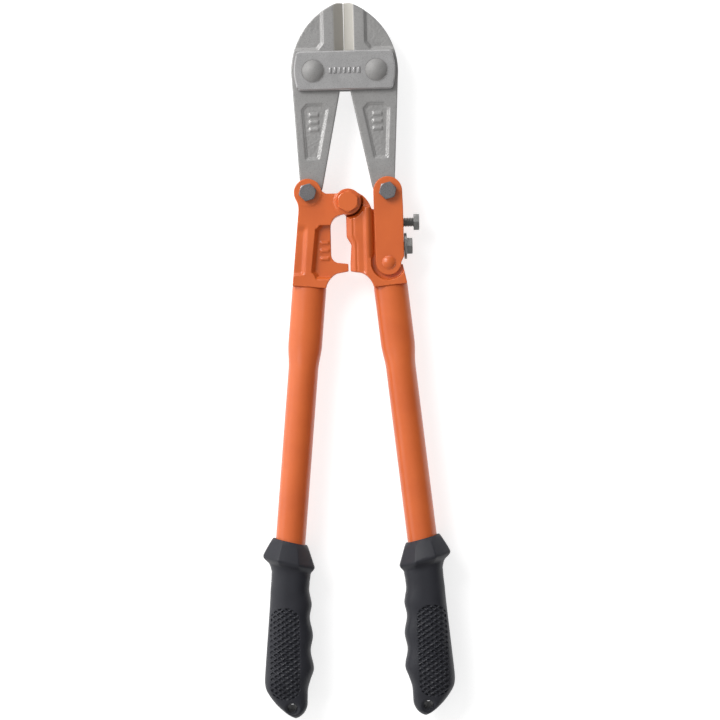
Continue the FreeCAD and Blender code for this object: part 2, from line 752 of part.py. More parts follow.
def adjuster_arm():
    """A strap folded to a channel: two cheeks, and a web on the outer side that the screws pass through."""
    body = new_body("adjuster_arm")
    sketch = new_sketch(body)
    top_y = "jaw_bolt_y + arm_top_radius"
    outline(sketch, [
        ("jaw_bolt_x - arm_top_radius", "jaw_bolt_y"),
        ("jaw_bolt_x", top_y, "arm_top_radius", -1),
        ("jaw_bolt_x + arm_top_radius", "jaw_bolt_y", "arm_top_radius", -1),
        ("arm_web_x", "arm_web_top_y"),
        ("arm_web_x", "arm_web_bottom_y"),
        ("arm_rivet_x + arm_foot_radius", "arm_rivet_y"),
        ("arm_rivet_x", "arm_rivet_y - arm_foot_radius", "arm_foot_radius", -1),
        ("arm_rivet_x - arm_foot_radius", "arm_rivet_y", "arm_foot_radius", -1),
    ])
    pad(body, sketch, f"2 * {CHEEK_OUTSIDE}", symmetric=True)

    inside = new_sketch(body)
    far = "arm_web_x + arm_top_radius"
    outline(inside, [
        ("0", f"{top_y} + arm_sheet"),
        (far, f"{top_y} + arm_sheet"),
        (far, "arm_web_top_y"),
        (ARM_WEB_INSIDE, "arm_web_top_y"),
        (ARM_WEB_INSIDE, "arm_web_bottom_y"),
        (far, "arm_web_bottom_y"),
        (far, "arm_rivet_y - arm_foot_radius - arm_sheet"),
        ("0", "arm_rivet_y - arm_foot_radius - arm_sheet"),
    ])
    pocket(body, inside, f"2 * {CHEEK_FACE}", symmetric=True)
    bore(body, "jaw_bolt_x", "jaw_bolt_y", "jaw_bolt_radius + running_play")
    bore(body, "arm_rivet_x", "arm_rivet_y", "arm_rivet_radius + running_play")
    for y in ("adjusting_screw_y", "locking_screw_y"):
        hole = new_sketch(body, "YZ_Plane", "arm_web_x + arm_sheet")
        circle(hole, y, "0", "screw_hole_radius")
        pocket(body, hole, "3 * arm_sheet")


# ---------------------------------------------------------------- tubes and grips

def part_object(kind, name, **sizes):
    """A Part primitive whose sizes, and place where given, are bound to expressions."""
    item = doc.addObject("Part::" + kind, name)
    for key, text in sizes.items():
        item.setExpression(key.replace("_", "."), bound(text))
    return item


def loft(name, sections):
    body = doc.addObject("Part::Loft", name)
    body.Sections = sections
    body.Solid = True
    body.Ruled = True
    return body


def tube(side, name):
    """A round tube whose top end is squeezed to an oval over the fitting's tang."""
    stations = [
        ("0", "oval_half_width", "oval_half_depth"),
        ("oval_length", "oval_half_width", "oval_half_depth"),
        ("oval_length + oval_taper", "tube_radius", "tube_radius"),
        ("tube_length", "tube_radius", "tube_radius"),
    ]
    walls = []
    for wall in ("0", "tube_wall"):
        sections = [part_object("Ellipse", name + "_section", MajorRadius=f"{wide} - {wall}",
                                MinorRadius=f"{deep} - {wall}", Placement_Base_z=along)
                    for along, wide, deep in stations]
        walls.append(loft(name + "_wall", sections))
    body = doc.addObject("Part::Cut", name)
    body.Label = name
    body.Base, body.Tool = walls
    lay_along_handle(body, side, "tube_start_x", "tube_start_y")
    PIECES.append(body)


def lay_along_handle(body, side, x, y):
    """Turn a piece drawn along Z so that it runs down and outwards along the handle."""
    start = bound(f"vector({side} * {x}; {y}; mid_height)")
    body.setExpression("Placement", f"placement({start}; rotation({side} * dims.tube_lean; 0; 90))")


def grip(side, name):
    """A moulded sleeve with a flange, three finger swellings and a flat tab with a slanting hanging hole."""
    sections = []
    for section, *_ in GRIP_SECTIONS:
        inner, outer = f"grip_{section}_inner", f"grip_{section}_outer"
        half_width = f"({outer} - {inner}) / 2"
        ring = part_object("Ellipse", name + "_" + section, MajorRadius=half_width,
                           MinorRadius=f"min({half_width}; grip_{section}_depth)")
        along = f"grip_{section}_y"
        across = f"({TUBE_END_X} - {along} * tan(tube_lean) + ({inner} + {outer}) / 2)"
        centre = bound(f"vector({side} * {across}; {TUBE_END_Y} + {along}; mid_height)")
        ring.setExpression("Placement", f"placement({centre}; rotation(0; 0; 90))")
        sections.append(ring)
    sleeve = loft(name + "_sleeve", sections)

    core = part_object("Cylinder", name + "_core", Radius="tube_radius", Height="tube_length")
    lay_along_handle(core, side, "tube_start_x", "tube_start_y")
    hole = part_object("Cylinder", name + "_hole", Radius="hanger_radius", Height="4 * mid_height")
    low_end = bound(f"vector({side} * ({TUBE_END_X} - hanger_in);"
                    f" {TUBE_END_Y} - hanger_drop + 2 * mid_height * sin(hanger_tilt);"
                    f" mid_height - 2 * mid_height * cos(hanger_tilt))")
    hole.setExpression("Placement", f"placement({low_end}; rotation(0; 0; dims.hanger_tilt))")
    tools = [core, hole]
    for face, low in (("front", "mid_height + hanger_half_depth"), ("back", "0")):
        block = part_object("Box", name + "_" + face, Length=f"4 * {TUBE_END_X}", Width="2 * mid_height",
                            Height="mid_height - hanger_half_depth", Placement_Base_x=f"-2 * {TUBE_END_X}",
                            Placement_Base_y=f"{TUBE_END_Y} - hanger_flat_drop - 2 * mid_height",
                            Placement_Base_z=low)
        tools.append(block)
    cut = sleeve
    for number, tool in enumerate(tools, start=1):
        stage = doc.addObject("Part::Cut", name if number == len(tools) else name + f"_cut{number}")
        stage.Base, stage.Tool = cut, tool
        cut = stage
    cut.Label = name
    PIECES.append(cut)


# ---------------------------------------------------------------- the whole tool

def build():
    left_jaw()
    right_jaw()
    link_plate("front_link_plate", 1)
    link_plate("back_link_plate", -1)
    plate_outside = f"({PLATE_FACE} + plate_thick)"
    for name, x in (("left_link_rivet", "-link_rivet_x"), ("right_link_rivet", "link_rivet_x")):
        domed_rivet(name, x, "link_rivet_y", "link_shank_radius", "link_head_radius", "link_head_height",
                    plate_outside)
    left_fitting()
    right_fitting()
    jaw_fasteners("left_jaw", "-jaw_bolt_x", "ear_half")
    jaw_fasteners("right_jaw", "jaw_bolt_x", CHEEK_OUTSIDE)
    centre_fasteners()
    adjuster_arm()
    domed_rivet("adjuster_rivet", "arm_rivet_x", "arm_rivet_y", "arm_rivet_radius", "arm_rivet_head_radius",
                "arm_rivet_head_height", f"({CHEEK_OUTSIDE} + side_play)")
    screws()
    for side, hand in ((-1, "left"), (1, "right")):
        tube(side, hand + "_tube")
        grip(side, hand + "_grip")
    doc.recompute()


def check_document():
    """Stop before writing anything if an object failed or a piece has no valid solid."""
    for item in doc.Objects:
        if "Invalid" in item.State or "Error" in item.State:
            raise ValueError(f"{item.Name} did not build: {item.State}")
    for piece in PIECES:
        if piece.Shape.isNull() or not piece.Shape.isValid() or len(piece.Shape.Solids) != 1:
            raise ValueError(f"{piece.Label} is not one valid solid")


def write_pieces():
    os.makedirs("parts", exist_ok=True)
    for piece in PIECES:
        piece.Shape.exportStep(f"parts/{piece.Label}.step")
        box = piece.Shape.optimalBoundingBox()
        print(f"{piece.Label:26s} {piece.Shape.Volume / 1000:8.2f} cm3  "
              f"X {box.XMin:7.1f} {box.XMax:7.1f}  Y {box.YMin:7.1f} {box.YMax:7.1f}  "
              f"Z {box.ZMin:6.1f} {box.ZMax:6.1f}")


build()
check_document()
write_pieces()
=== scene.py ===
import json
from math import asin, ceil, copysign, cos, degrees, exp, hypot, pi, radians, sin, sqrt, tan

import bmesh
import bpy
from mathutils import Matrix, Vector, noise


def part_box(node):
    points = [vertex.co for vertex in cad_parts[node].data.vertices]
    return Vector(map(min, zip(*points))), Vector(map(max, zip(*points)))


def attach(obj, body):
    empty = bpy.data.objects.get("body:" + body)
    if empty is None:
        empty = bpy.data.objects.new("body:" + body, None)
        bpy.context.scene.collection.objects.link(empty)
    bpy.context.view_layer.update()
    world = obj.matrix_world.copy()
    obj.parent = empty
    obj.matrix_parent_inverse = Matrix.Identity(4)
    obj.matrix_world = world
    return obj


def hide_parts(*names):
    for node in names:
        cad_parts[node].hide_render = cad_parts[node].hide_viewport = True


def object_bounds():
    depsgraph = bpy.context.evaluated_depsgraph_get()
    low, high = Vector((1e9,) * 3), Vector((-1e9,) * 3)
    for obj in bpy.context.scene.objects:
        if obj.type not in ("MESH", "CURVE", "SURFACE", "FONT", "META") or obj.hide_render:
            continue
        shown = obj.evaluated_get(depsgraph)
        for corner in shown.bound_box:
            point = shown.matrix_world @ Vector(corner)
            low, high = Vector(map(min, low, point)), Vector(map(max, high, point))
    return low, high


bl_info = {
    "name": "Bolt Cutters",
    "version": (1, 0, 0),
    "blender": (4, 5, 0),
    "location": "View3D > Sidebar > Bolt Cutters",
    "description": "Finishes the pieces of a pair of bolt cutters around their packed frame",
    "category": "Object",
}

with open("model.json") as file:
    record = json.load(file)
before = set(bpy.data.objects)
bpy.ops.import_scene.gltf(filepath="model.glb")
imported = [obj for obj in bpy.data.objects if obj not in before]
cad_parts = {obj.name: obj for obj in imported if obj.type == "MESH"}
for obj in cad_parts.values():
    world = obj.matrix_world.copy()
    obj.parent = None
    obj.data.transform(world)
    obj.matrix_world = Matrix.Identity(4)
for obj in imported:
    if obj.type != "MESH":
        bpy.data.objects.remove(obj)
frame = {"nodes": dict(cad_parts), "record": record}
CAD_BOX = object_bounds()
MM = 0.001


# ---- places read from the frame

def box_of(node):
    low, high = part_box(node)
    return Vector(low), Vector(high)


def centre_of(node):
    low, high = box_of(node)
    return (low + high) / 2


def size_of(node):
    low, high = box_of(node)
    return high - low


MIDDLE = centre_of("left_jaw").z


# ---- properties

def length(name, text, millimetres):
    return bpy.props.FloatProperty(name=name, description=text, default=millimetres * MM, unit="LENGTH")


class CutterSizes(bpy.types.PropertyGroup):
    jaw_voxel: length("Jaw detail", "Edge length of the remeshed jaws", 0.36)
    forging_voxel: length("Forging detail", "Edge length of the remeshed forgings", 0.40)
    arm_voxel: length("Arm detail", "Edge length of the remeshed adjuster arm", 0.34)
    bevel_width: length("Ground bevel", "Width of the ground bevel at the cutting edge", 6.2)
    bevel_end: length("Bevel end", "How far along Y the ground bevel starts", 86.0)
    thread_pitch: length("Thread pitch", "Pitch of the side screws", 1.0)
    thread_depth: length("Thread depth", "Depth of the side screws' thread", 0.55)
    knurl_across: length("Knurl width", "Width of a diamond in the grip's panel", 5.2)
    knurl_along: length("Knurl height", "Height of a diamond in the grip's panel", 3.4)
    knurl_depth: length("Knurl depth", "Depth of a diamond in the grip's panel", 1.1)
    rib_pitch: length("Rib pitch", "Pitch of the small ribs below the collar", 1.7)
    camera_lens: bpy.props.FloatProperty(
        name="Lens", description="Focal length of the camera in millimetres", default=200.0)
    view_width: length("View width", "Width of the view at the tool", 454.0)
    view_roll: bpy.props.FloatProperty(
        name="View roll", description="How far the tool leans in the view", default=radians(1.45),
        subtype="ANGLE")


def colour(name, text, default):
    return bpy.props.FloatVectorProperty(name=name, description=text, default=default, size=3, min=0, max=1,
                                         subtype="COLOR")


class CutterColours(bpy.types.PropertyGroup):
    paint: colour("Paint", "Orange paint of the handles", (0.64, 0.125, 0.020))
    paint_deep: colour("Deep paint", "Paint where it lies thick", (0.55, 0.096, 0.014))
    forged: colour("Forged steel", "Blasted steel of the jaws", (0.345, 0.34, 0.335))
    forged_dark: colour("Forged speckle", "Dark speckle of the jaws", (0.235, 0.23, 0.225))
    ground: colour("Ground steel", "Ground bevel of the blades", (0.50, 0.48, 0.44))
    plate: colour("Plate steel", "Link plates", (0.43, 0.425, 0.425))
    rivet: colour("Rivet steel", "Domed rivets", (0.29, 0.285, 0.28))
    bolt: colour("Bolt steel", "Dark steel of the bolts at the jaw tails", (0.225, 0.215, 0.22))
    zinc: colour("Zinc", "Zinc-plated side screws and washers", (0.24, 0.235, 0.23))
    vinyl: colour("Grip vinyl", "Charcoal vinyl of the grips", (0.0125, 0.013, 0.018))
    floor: colour("Floor", "Pale floor under the tool", (0.55, 0.55, 0.55))


# ---- shader groups

def add_node(tree, kind, location=(0, 0), **settings):
    node = tree.nodes.new(kind)
    node.location = location
    for key, setting in settings.items():
        setattr(node, key, setting)
    return node


def new_group(name, inputs, outputs):
    """An empty shader node group with one vector input, named float inputs and named float outputs."""
    tree = bpy.data.node_groups.new(name, "ShaderNodeTree")
    tree.interface.new_socket("Vector", in_out="INPUT", socket_type="NodeSocketVector")
    for label, default in inputs.items():
        socket = tree.interface.new_socket(label, in_out="INPUT", socket_type="NodeSocketFloat")
        socket.default_value = default
    for label in outputs:
        tree.interface.new_socket(label, in_out="OUTPUT", socket_type="NodeSocketFloat")
    return tree, add_node(tree, "NodeGroupInput", (-600, 0)), add_node(tree, "NodeGroupOutput", (600, 0))


def grain_group():
    """Fine speckle and broad mottling, as on blasted, plated or moulded surfaces."""
    tree, given, result = new_group(
        "surface_grain", {"Fine Scale": 2000.0, "Broad Scale": 60.0, "Threshold": 0.5, "Spread": 0.12},
        ("Speckle", "Mottle", "Height"))
    fine = add_node(tree, "ShaderNodeTexNoise", (-350, 150))
    fine.inputs["Detail"].default_value = 3.0
    fine.inputs["Roughness"].default_value = 0.6
    broad = add_node(tree, "ShaderNodeTexNoise", (-350, -150))
    broad.inputs["Detail"].default_value = 4.0
    low = add_node(tree, "ShaderNodeMath", (-100, 300), operation="SUBTRACT")
    high = add_node(tree, "ShaderNodeMath", (-100, 150), operation="ADD")
    ramp = add_node(tree, "ShaderNodeMapRange", (150, 150), interpolation_type="SMOOTHSTEP")
    link = tree.links.new
    link(given.outputs["Vector"], fine.inputs["Vector"])
    link(given.outputs["Vector"], broad.inputs["Vector"])
    link(given.outputs["Fine Scale"], fine.inputs["Scale"])
    link(given.outputs["Broad Scale"], broad.inputs["Scale"])
    for node in (low, high):
        link(given.outputs["Threshold"], node.inputs[0])
        link(given.outputs["Spread"], node.inputs[1])
    link(fine.outputs["Fac"], ramp.inputs["Value"])
    link(low.outputs[0], ramp.inputs["From Min"])
    link(high.outputs[0], ramp.inputs["From Max"])
    link(ramp.outputs[0], result.inputs["Speckle"])
    link(broad.outputs["Fac"], result.inputs["Mottle"])
    link(fine.outputs["Fac"], result.inputs["Height"])
    return tree


def brushing_group():
    """Fine parallel scratches left by grinding, drawn out along one axis of the given vector."""
    tree, given, result = new_group("ground_scratches", {"Scale": 900.0}, ("Scratch",))
    stretch = add_node(tree, "ShaderNodeMapping", (-350, 0), vector_type="POINT")
    stretch.inputs["Scale"].default_value = (0.05, 1.0, 1.0)
    lines = add_node(tree, "ShaderNodeTexNoise", (0, 0))
    lines.inputs["Detail"].default_value = 5.0
    lines.inputs["Roughness"].default_value = 0.65
    tree.links.new(given.outputs["Vector"], stretch.inputs["Vector"])
    tree.links.new(stretch.outputs["Vector"], lines.inputs["Vector"])
    tree.links.new(given.outputs["Scale"], lines.inputs["Scale"])
    tree.links.new(lines.outputs["Fac"], result.inputs["Scratch"])
    return tree


# ---- materials

def place_group(tree, group, **values):
    node = add_node(tree, "ShaderNodeGroup", (-600, 0))
    node.node_tree = bpy.data.node_groups[group]
    for label, number in values.items():
        node.inputs[label.replace("_", " ")].default_value = number
    return node


def mix_colours(tree, factor, first, second, location):
    node = add_node(tree, "ShaderNodeMix", location, data_type="RGBA")
    tree.links.new(factor, node.inputs["Factor"])
    node.inputs["A"].default_value = (*first, 1)
    node.inputs["B"].default_value = (*second, 1)
    return node.outputs["Result"]


def map_value(tree, source, low, high, location, start=0.0, end=1.0):
    node = add_node(tree, "ShaderNodeMapRange", location)
    node.inputs["From Min"].default_value = start
    node.inputs["From Max"].default_value = end
    node.inputs["To Min"].default_value = low
    node.inputs["To Max"].default_value = high
    tree.links.new(source, node.inputs["Value"])
    return node.outputs[0]


def bump(tree, height, strength, distance, location):
    node = add_node(tree, "ShaderNodeBump", location)
    node.inputs["Strength"].default_value = strength
    node.inputs["Distance"].default_value = distance
    tree.links.new(height, node.inputs["Height"])
    return node.outputs["Normal"]


def scaled(tint, share):
    """A colour with every channel multiplied by the same share."""
    return [channel * share for channel in tint]


def place_grain(tree, place, **values):
    """The shared grain of a surface, read at the given coordinates."""
    grain = place_group(tree, "surface_grain", **values)
    tree.links.new(place, grain.inputs["Vector"])
    return grain.outputs


def feed(tree, shader, colour_source, roughness, normal, **fixed):
    """Link the shader to its sources, and set the inputs that are the same all over."""
    tree.links.new(colour_source, shader.inputs["Base Color"])
    tree.links.new(roughness, shader.inputs["Roughness"])
    tree.links.new(normal, shader.inputs["Normal"])
    for label, number in fixed.items():
        shader.inputs[label.replace("_", " ")].default_value = number


def new_material(name):
    """A material with its shader, object coordinates and output, ready for textures."""
    material = bpy.data.materials.new(name + "_finish")
    material.use_nodes = True
    tree = material.node_tree
    tree.nodes.clear()
    shader = add_node(tree, "ShaderNodeBsdfPrincipled", (500, 0))
    output = add_node(tree, "ShaderNodeOutputMaterial", (800, 0))
    place = add_node(tree, "ShaderNodeTexCoord", (-900, 0))
    tree.links.new(shader.outputs["BSDF"], output.inputs["Surface"])
    return tree, shader, place.outputs["Object"]


def metal_material(name, light, dark, metallic, rough, scales, speckle, relief):
    """Bare metal: light base, dark speckle, uneven gloss and a fine relief.

    rough is the roughness of the metal and of its speckle, scales the fine and broad scale of the grain,
    speckle its threshold and spread, relief its strength and height.
    """
    tree, shader, place = new_material(name)
    grain = place_grain(tree, place, Fine_Scale=scales[0], Broad_Scale=scales[1], Threshold=speckle[0],
                        Spread=speckle[1])
    mottled = mix_colours(tree, map_value(tree, grain["Mottle"], 0.0, 1.0, (-300, 300), 0.3, 0.7),
                          light, scaled(light, 0.86), (-100, 300))
    speckled = mix_colours(tree, grain["Speckle"], dark, light, (150, 300))
    tree.links.new(mottled, speckled.node.inputs["B"])
    feed(tree, shader, speckled, map_value(tree, grain["Speckle"], rough[1], rough[0], (150, 0)),
         bump(tree, grain["Height"], *relief, (250, -300)), Metallic=metallic)


def make_materials(colours):
    """Every finish of the tool."""
    grain_group()
    brushing_group()
    metal_material("forged_steel", colours.forged, colours.forged_dark, metallic=0.45, rough=(0.40, 0.50),
                   scales=(1700, 70), speckle=(0.40, 0.14), relief=(0.22, 0.15 * MM))
    metal_material("plate_steel", colours.plate, scaled(colours.plate, 0.6), metallic=0.65,
                   rough=(0.36, 0.50), scales=(2200, 120), speckle=(0.40, 0.12), relief=(0.35, 0.15 * MM))
    metal_material("rivet_steel", colours.rivet, scaled(colours.rivet, 0.75), metallic=0.20,
                   rough=(0.58, 0.68), scales=(1600, 150), speckle=(0.38, 0.12), relief=(0.25, 0.12 * MM))
    metal_material("bolt_steel", colours.bolt, scaled(colours.bolt, 0.55), metallic=0.7,
                   rough=(0.36, 0.52), scales=(1500, 200), speckle=(0.42, 0.14), relief=(0.40, 0.20 * MM))
    metal_material("zinc_steel", colours.zinc, scaled(colours.zinc, 0.65), metallic=0.85,
                   rough=(0.28, 0.42), scales=(1800, 250), speckle=(0.38, 0.14), relief=(0.25, 0.12 * MM))
    ground_material(colours)
    paint_material(colours)
    vinyl_material(colours)


def ground_material(colours):
    """Bright steel with grinding marks across the cutting edge."""
    tree, shader, place = new_material("ground_steel")
    lines = place_group(tree, "ground_scratches", Scale=1500)
    tree.links.new(place, lines.inputs["Vector"])
    scratch = lines.outputs["Scratch"]
    feed(tree, shader, mix_colours(tree, scratch, scaled(colours.ground, 0.8), colours.ground, (0, 200)),
         map_value(tree, scratch, 0.46, 0.60, (0, 0), 0.3, 0.7),
         bump(tree, scratch, 0.30, 0.1 * MM, (200, -200)), Metallic=0.35)


def paint_material(colours):
    """Glossy orange paint with a slight orange-peel relief over a rough forging."""
    tree, shader, place = new_material("orange_paint")
    grain = place_grain(tree, place, Fine_Scale=700, Broad_Scale=45, Threshold=0.5, Spread=0.2)
    shade = map_value(tree, grain["Mottle"], 0.0, 0.75, (-300, 300), 0.35, 0.75)
    feed(tree, shader, mix_colours(tree, shade, colours.paint, colours.paint_deep, (0, 300)),
         map_value(tree, grain["Speckle"], 0.30, 0.40, (0, 0)),
         bump(tree, grain["Height"], 0.22, 0.25 * MM, (250, -300)), Coat_Weight=0.25, Coat_Roughness=0.18)


def vinyl_material(colours):
    """Matt charcoal vinyl with a fine moulded grain."""
    tree, shader, place = new_material("grip_vinyl")
    grain = place_grain(tree, place, Fine_Scale=2600, Broad_Scale=70, Threshold=0.5, Spread=0.2)
    lighter = scaled(colours.vinyl, 1.5)
    feed(tree, shader, mix_colours(tree, grain["Mottle"], colours.vinyl, lighter, (0, 300)),
         map_value(tree, grain["Mottle"], 0.42, 0.60, (0, 0), 0.3, 0.7),
         bump(tree, grain["Height"], 0.25, 0.1 * MM, (250, -300)), Specular_IOR_Level=0.40)


# ---- mesh helpers

def add_object(name, data):
    made = bpy.data.objects.new(name, data)
    bpy.context.collection.objects.link(made)
    return made


def put_in_scene(name, bm, materials, smooth_angle=40.0):
    """Turn a bmesh into an object with outward faces, sharp only at real edges."""
    bmesh.ops.recalc_face_normals(bm, faces=bm.faces)
    mesh = bpy.data.meshes.new(name)
    bm.to_mesh(mesh)
    bm.free()
    piece = add_object(name, mesh)
    for material in materials:
        mesh.materials.append(bpy.data.materials[material + "_finish"])
    mesh.shade_smooth()
    mesh.set_sharp_from_angle(angle=radians(smooth_angle))
    return piece


def declare(piece, body, slot, *nodes):
    """Hang the piece on the body it rides on and hide the frame nodes it stands for. The slot argument is not
    used.
    """
    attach(piece, body)
    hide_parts(*nodes)


def body_of(node):
    for body, nodes in frame["record"]["behaviour"]["bodies"].items():
        if node in nodes:
            return body
    raise ValueError(f"{node} is in no body")


def finish_piece(node, kind, bm, material, smooth_angle):
    """Put the mesh that stands for a frame node in the scene, in one finish."""
    piece = put_in_scene(f"{node}_{kind}", bm, [material], smooth_angle)
    declare(piece, body_of(node), material, node)


def apply_modifiers(piece):
    graph = bpy.context.evaluated_depsgraph_get()
    done = bpy.data.meshes.new_from_object(piece.evaluated_get(graph))
    piece.modifiers.clear()
    old = piece.data
    piece.data = done
    done.name = piece.name
    bpy.data.meshes.remove(old)


def merge(bm, millimetres):
    bmesh.ops.remove_doubles(bm, verts=bm.verts, dist=millimetres * MM)


def copy_of_node(node):
    """A bmesh of the frame node's own shape with its loose triangles joined."""
    bm = bmesh.new()
    bm.from_mesh(frame["nodes"][node].data)
    merge(bm, 0.002)
    return bm


def remesh(piece, voxel, smoothing):
    """Give the piece an even mesh and round its edges a little."""
    even = piece.modifiers.new("even_mesh", "REMESH")
    even.mode = "VOXEL"
    even.voxel_size = voxel
    if smoothing:
        soft = piece.modifiers.new("soft_edges", "SMOOTH")
        soft.factor = 0.5
        soft.iterations = smoothing
    apply_modifiers(piece)


def forged_copy(node, voxel, smoothing, materials, relief=None):
    """The node's shape with the soft edges of a forging, its two faces worked to the given relief."""
    piece = put_in_scene(node + "_forging", copy_of_node(node), materials)
    if relief is not None:
        remesh(piece, voxel, 0)
        for vert in piece.data.vertices:
            height = vert.co.z - MIDDLE
            worked = relief(vert.co.x / MM, vert.co.y / MM, abs(height) / MM) * MM
            vert.co.z = MIDDLE + copysign(worked, height)
    remesh(piece, voxel, smoothing)
    piece.data.shade_smooth()
    return piece


def outside_by(points, x, y):
    """Distance of a point from an outline, 0 inside it."""
    inside, nearest = False, 1e9
    for (x1, y1), (x2, y2) in zip(points, points[1:] + points[:1]):
        if (y1 > y) != (y2 > y) and x < x1 + (y - y1) * (x2 - x1) / (y2 - y1):
            inside = not inside
        along_x, along_y = x2 - x1, y2 - y1
        share = ((x - x1) * along_x + (y - y1) * along_y) / (along_x ** 2 + along_y ** 2)
        share = min(max(share, 0.0), 1.0)
        nearest = min(nearest, hypot(x - x1 - share * along_x, y - y1 - share * along_y))
    return 0.0 if inside else nearest


def ease(share):
    """A smooth step from 0 to 1."""
    share = min(max(share, 0.0), 1.0)
    return share * share * (3 - 2 * share)


def moved(bm, verts, offset):
    bmesh.ops.translate(bm, verts=verts, vec=offset)


def plate_from(points, low, high):
    """A bmesh of a flat outline raised from low to high."""
    bm = bmesh.new()
    face = bm.faces.new([bm.verts.new((x, y, low)) for x, y in points])
    raised = bmesh.ops.extrude_face_region(bm, geom=[face])
    top = [item for item in raised["geom"] if isinstance(item, bmesh.types.BMVert)]
    moved(bm, top, (0, 0, high - low))
    bmesh.ops.recalc_face_normals(bm, faces=bm.faces)
    return bm


def bevel_edges(bm, edges, width, segments):
    bmesh.ops.bevel(bm, geom=edges, offset=width, affect="EDGES", segments=segments, profile=0.5, material=-1)


def arc(centre, radius, start, end, count):
    """Points on an arc, from angle start to angle end in degrees."""
    angles = [radians(start + (end - start) * step / count) for step in range(count + 1)]
    return [(centre[0] + radius * cos(angle), centre[1] + radius * sin(angle)) for angle in angles]


def spun(profile, steps=72):
    """A bmesh of a profile of (radius, height) pairs turned about the Z axis."""
    bm = bmesh.new()
    verts = [bm.verts.new((radius, 0, height)) for radius, height in profile]
    edges = [bm.edges.new(pair) for pair in zip(verts, verts[1:])]
    bmesh.ops.spin(bm, geom=verts + edges, cent=(0, 0, 0), axis=(0, 0, 1), angle=2 * pi, steps=steps,
                   use_merge=True)
    merge(bm, 0.001)
    return bm


def joined(*meshes):
    """Several bmeshes in one."""
    whole = bmesh.new()
    for part in meshes:
        loose = bpy.data.meshes.new("loose")
        part.to_mesh(loose)
        part.free()
        whole.from_mesh(loose)
        bpy.data.meshes.remove(loose)
    return whole


def place_mesh(bm, place, turn=None):
    if turn is not None:
        bmesh.ops.transform(bm, matrix=turn, verts=bm.verts)
    moved(bm, bm.verts, place)
    return bm


def extend_loop(bm, edges):
    """Grow a new ring from a loop of edges. Gives the ring's vertices and its edges."""
    grown = bmesh.ops.extrude_edge_only(bm, edges=edges)["geom"]
    return ([item for item in grown if isinstance(item, bmesh.types.BMVert)],
            [item for item in grown if isinstance(item, bmesh.types.BMEdge)])


def ring_section(inner, outer, low, high, rounding):
    """Half the section of a washer with rounded outer rims, as (radius, height) pairs."""
    return [(inner, low), (outer - rounding, low), (outer, low + rounding), (outer, high - rounding),
            (outer - rounding, high), (inner, high)]


def flat_ring(*sizes):
    section = ring_section(*sizes)
    return spun(section + section[:1])


def domed_rivet(node, dome, cover, steps, rim, undercut, shank, sides=72):
    """A rivet with a low dome on an upright rim at each end of its shank."""
    radius, top = size_of(node).x / 2, size_of(node).z / 2
    seat = top - dome
    sphere = (radius ** 2 + dome ** 2) / (2 * dome)
    profile = []
    for step in range(steps + 1):
        reach = radius * cover * step / steps
        profile.append((reach, top - sphere + sqrt(sphere ** 2 - reach ** 2)))
    profile += [(radius, seat + rim), (radius - undercut, seat), (shank, seat)]
    profile += [(reach, -height) for reach, height in reversed(profile)]
    return place_mesh(spun(profile, sides), centre_of(node))


# ---- jaws

# Outlines of the sunk areas on the right jaw, in millimetres: beside the blade, and in the tail.
JAW_RECESS = [(14, 140), (14, 100.5), (17, 96.8), (50, 96.8), (50, 140)]
JAW_PANEL = [(14.5, 61.3), (24.1, 61.3), (26.9, 58.5), (25.2, 28), (18, 28), (11.9, 58.5)]
JAW_FACE, RECESS_DEPTH, PANEL_DEPTH, WALL_RUN = 5.5, 1.2, 0.8, 1.0


def jaw_relief(x, y, height):
    """Slope the walls of the sunk areas, which a forging cannot have upright."""
    if height < JAW_FACE - 1.3:
        return height
    for outline, depth in ((JAW_RECESS, RECESS_DEPTH), (JAW_PANEL, PANEL_DEPTH)):
        away = outside_by(outline, abs(x), y)
        if away == 0.0 and height < JAW_FACE - depth + 0.1:
            height += 0.11 * noise.fractal((x * 0.8, y * 0.8, 4.0), 1.0, 2.0, 2)
        if 0.0 < away < WALL_RUN:
            height = min(height, JAW_FACE - depth * (1 - away / WALL_RUN))
    return height


def finish_jaws(sizes):
    """Both jaws as blasted forgings, with the ground bevels in a brighter finish."""
    for node in ("left_jaw", "right_jaw"):
        piece = forged_copy(node, sizes.jaw_voxel, 1, ["forged_steel", "ground_steel"], jaw_relief)
        half = size_of(node).z / 2
        for face in piece.data.polygons:
            spot = face.center
            on_bevel = abs(spot.x) < sizes.bevel_width and spot.y > sizes.bevel_end
            face.material_index = int(on_bevel and abs(spot.z - MIDDLE) < half - 0.12 * MM)
        declare(piece, node, "jaw_steel", node)


# ---- link plates and rivets

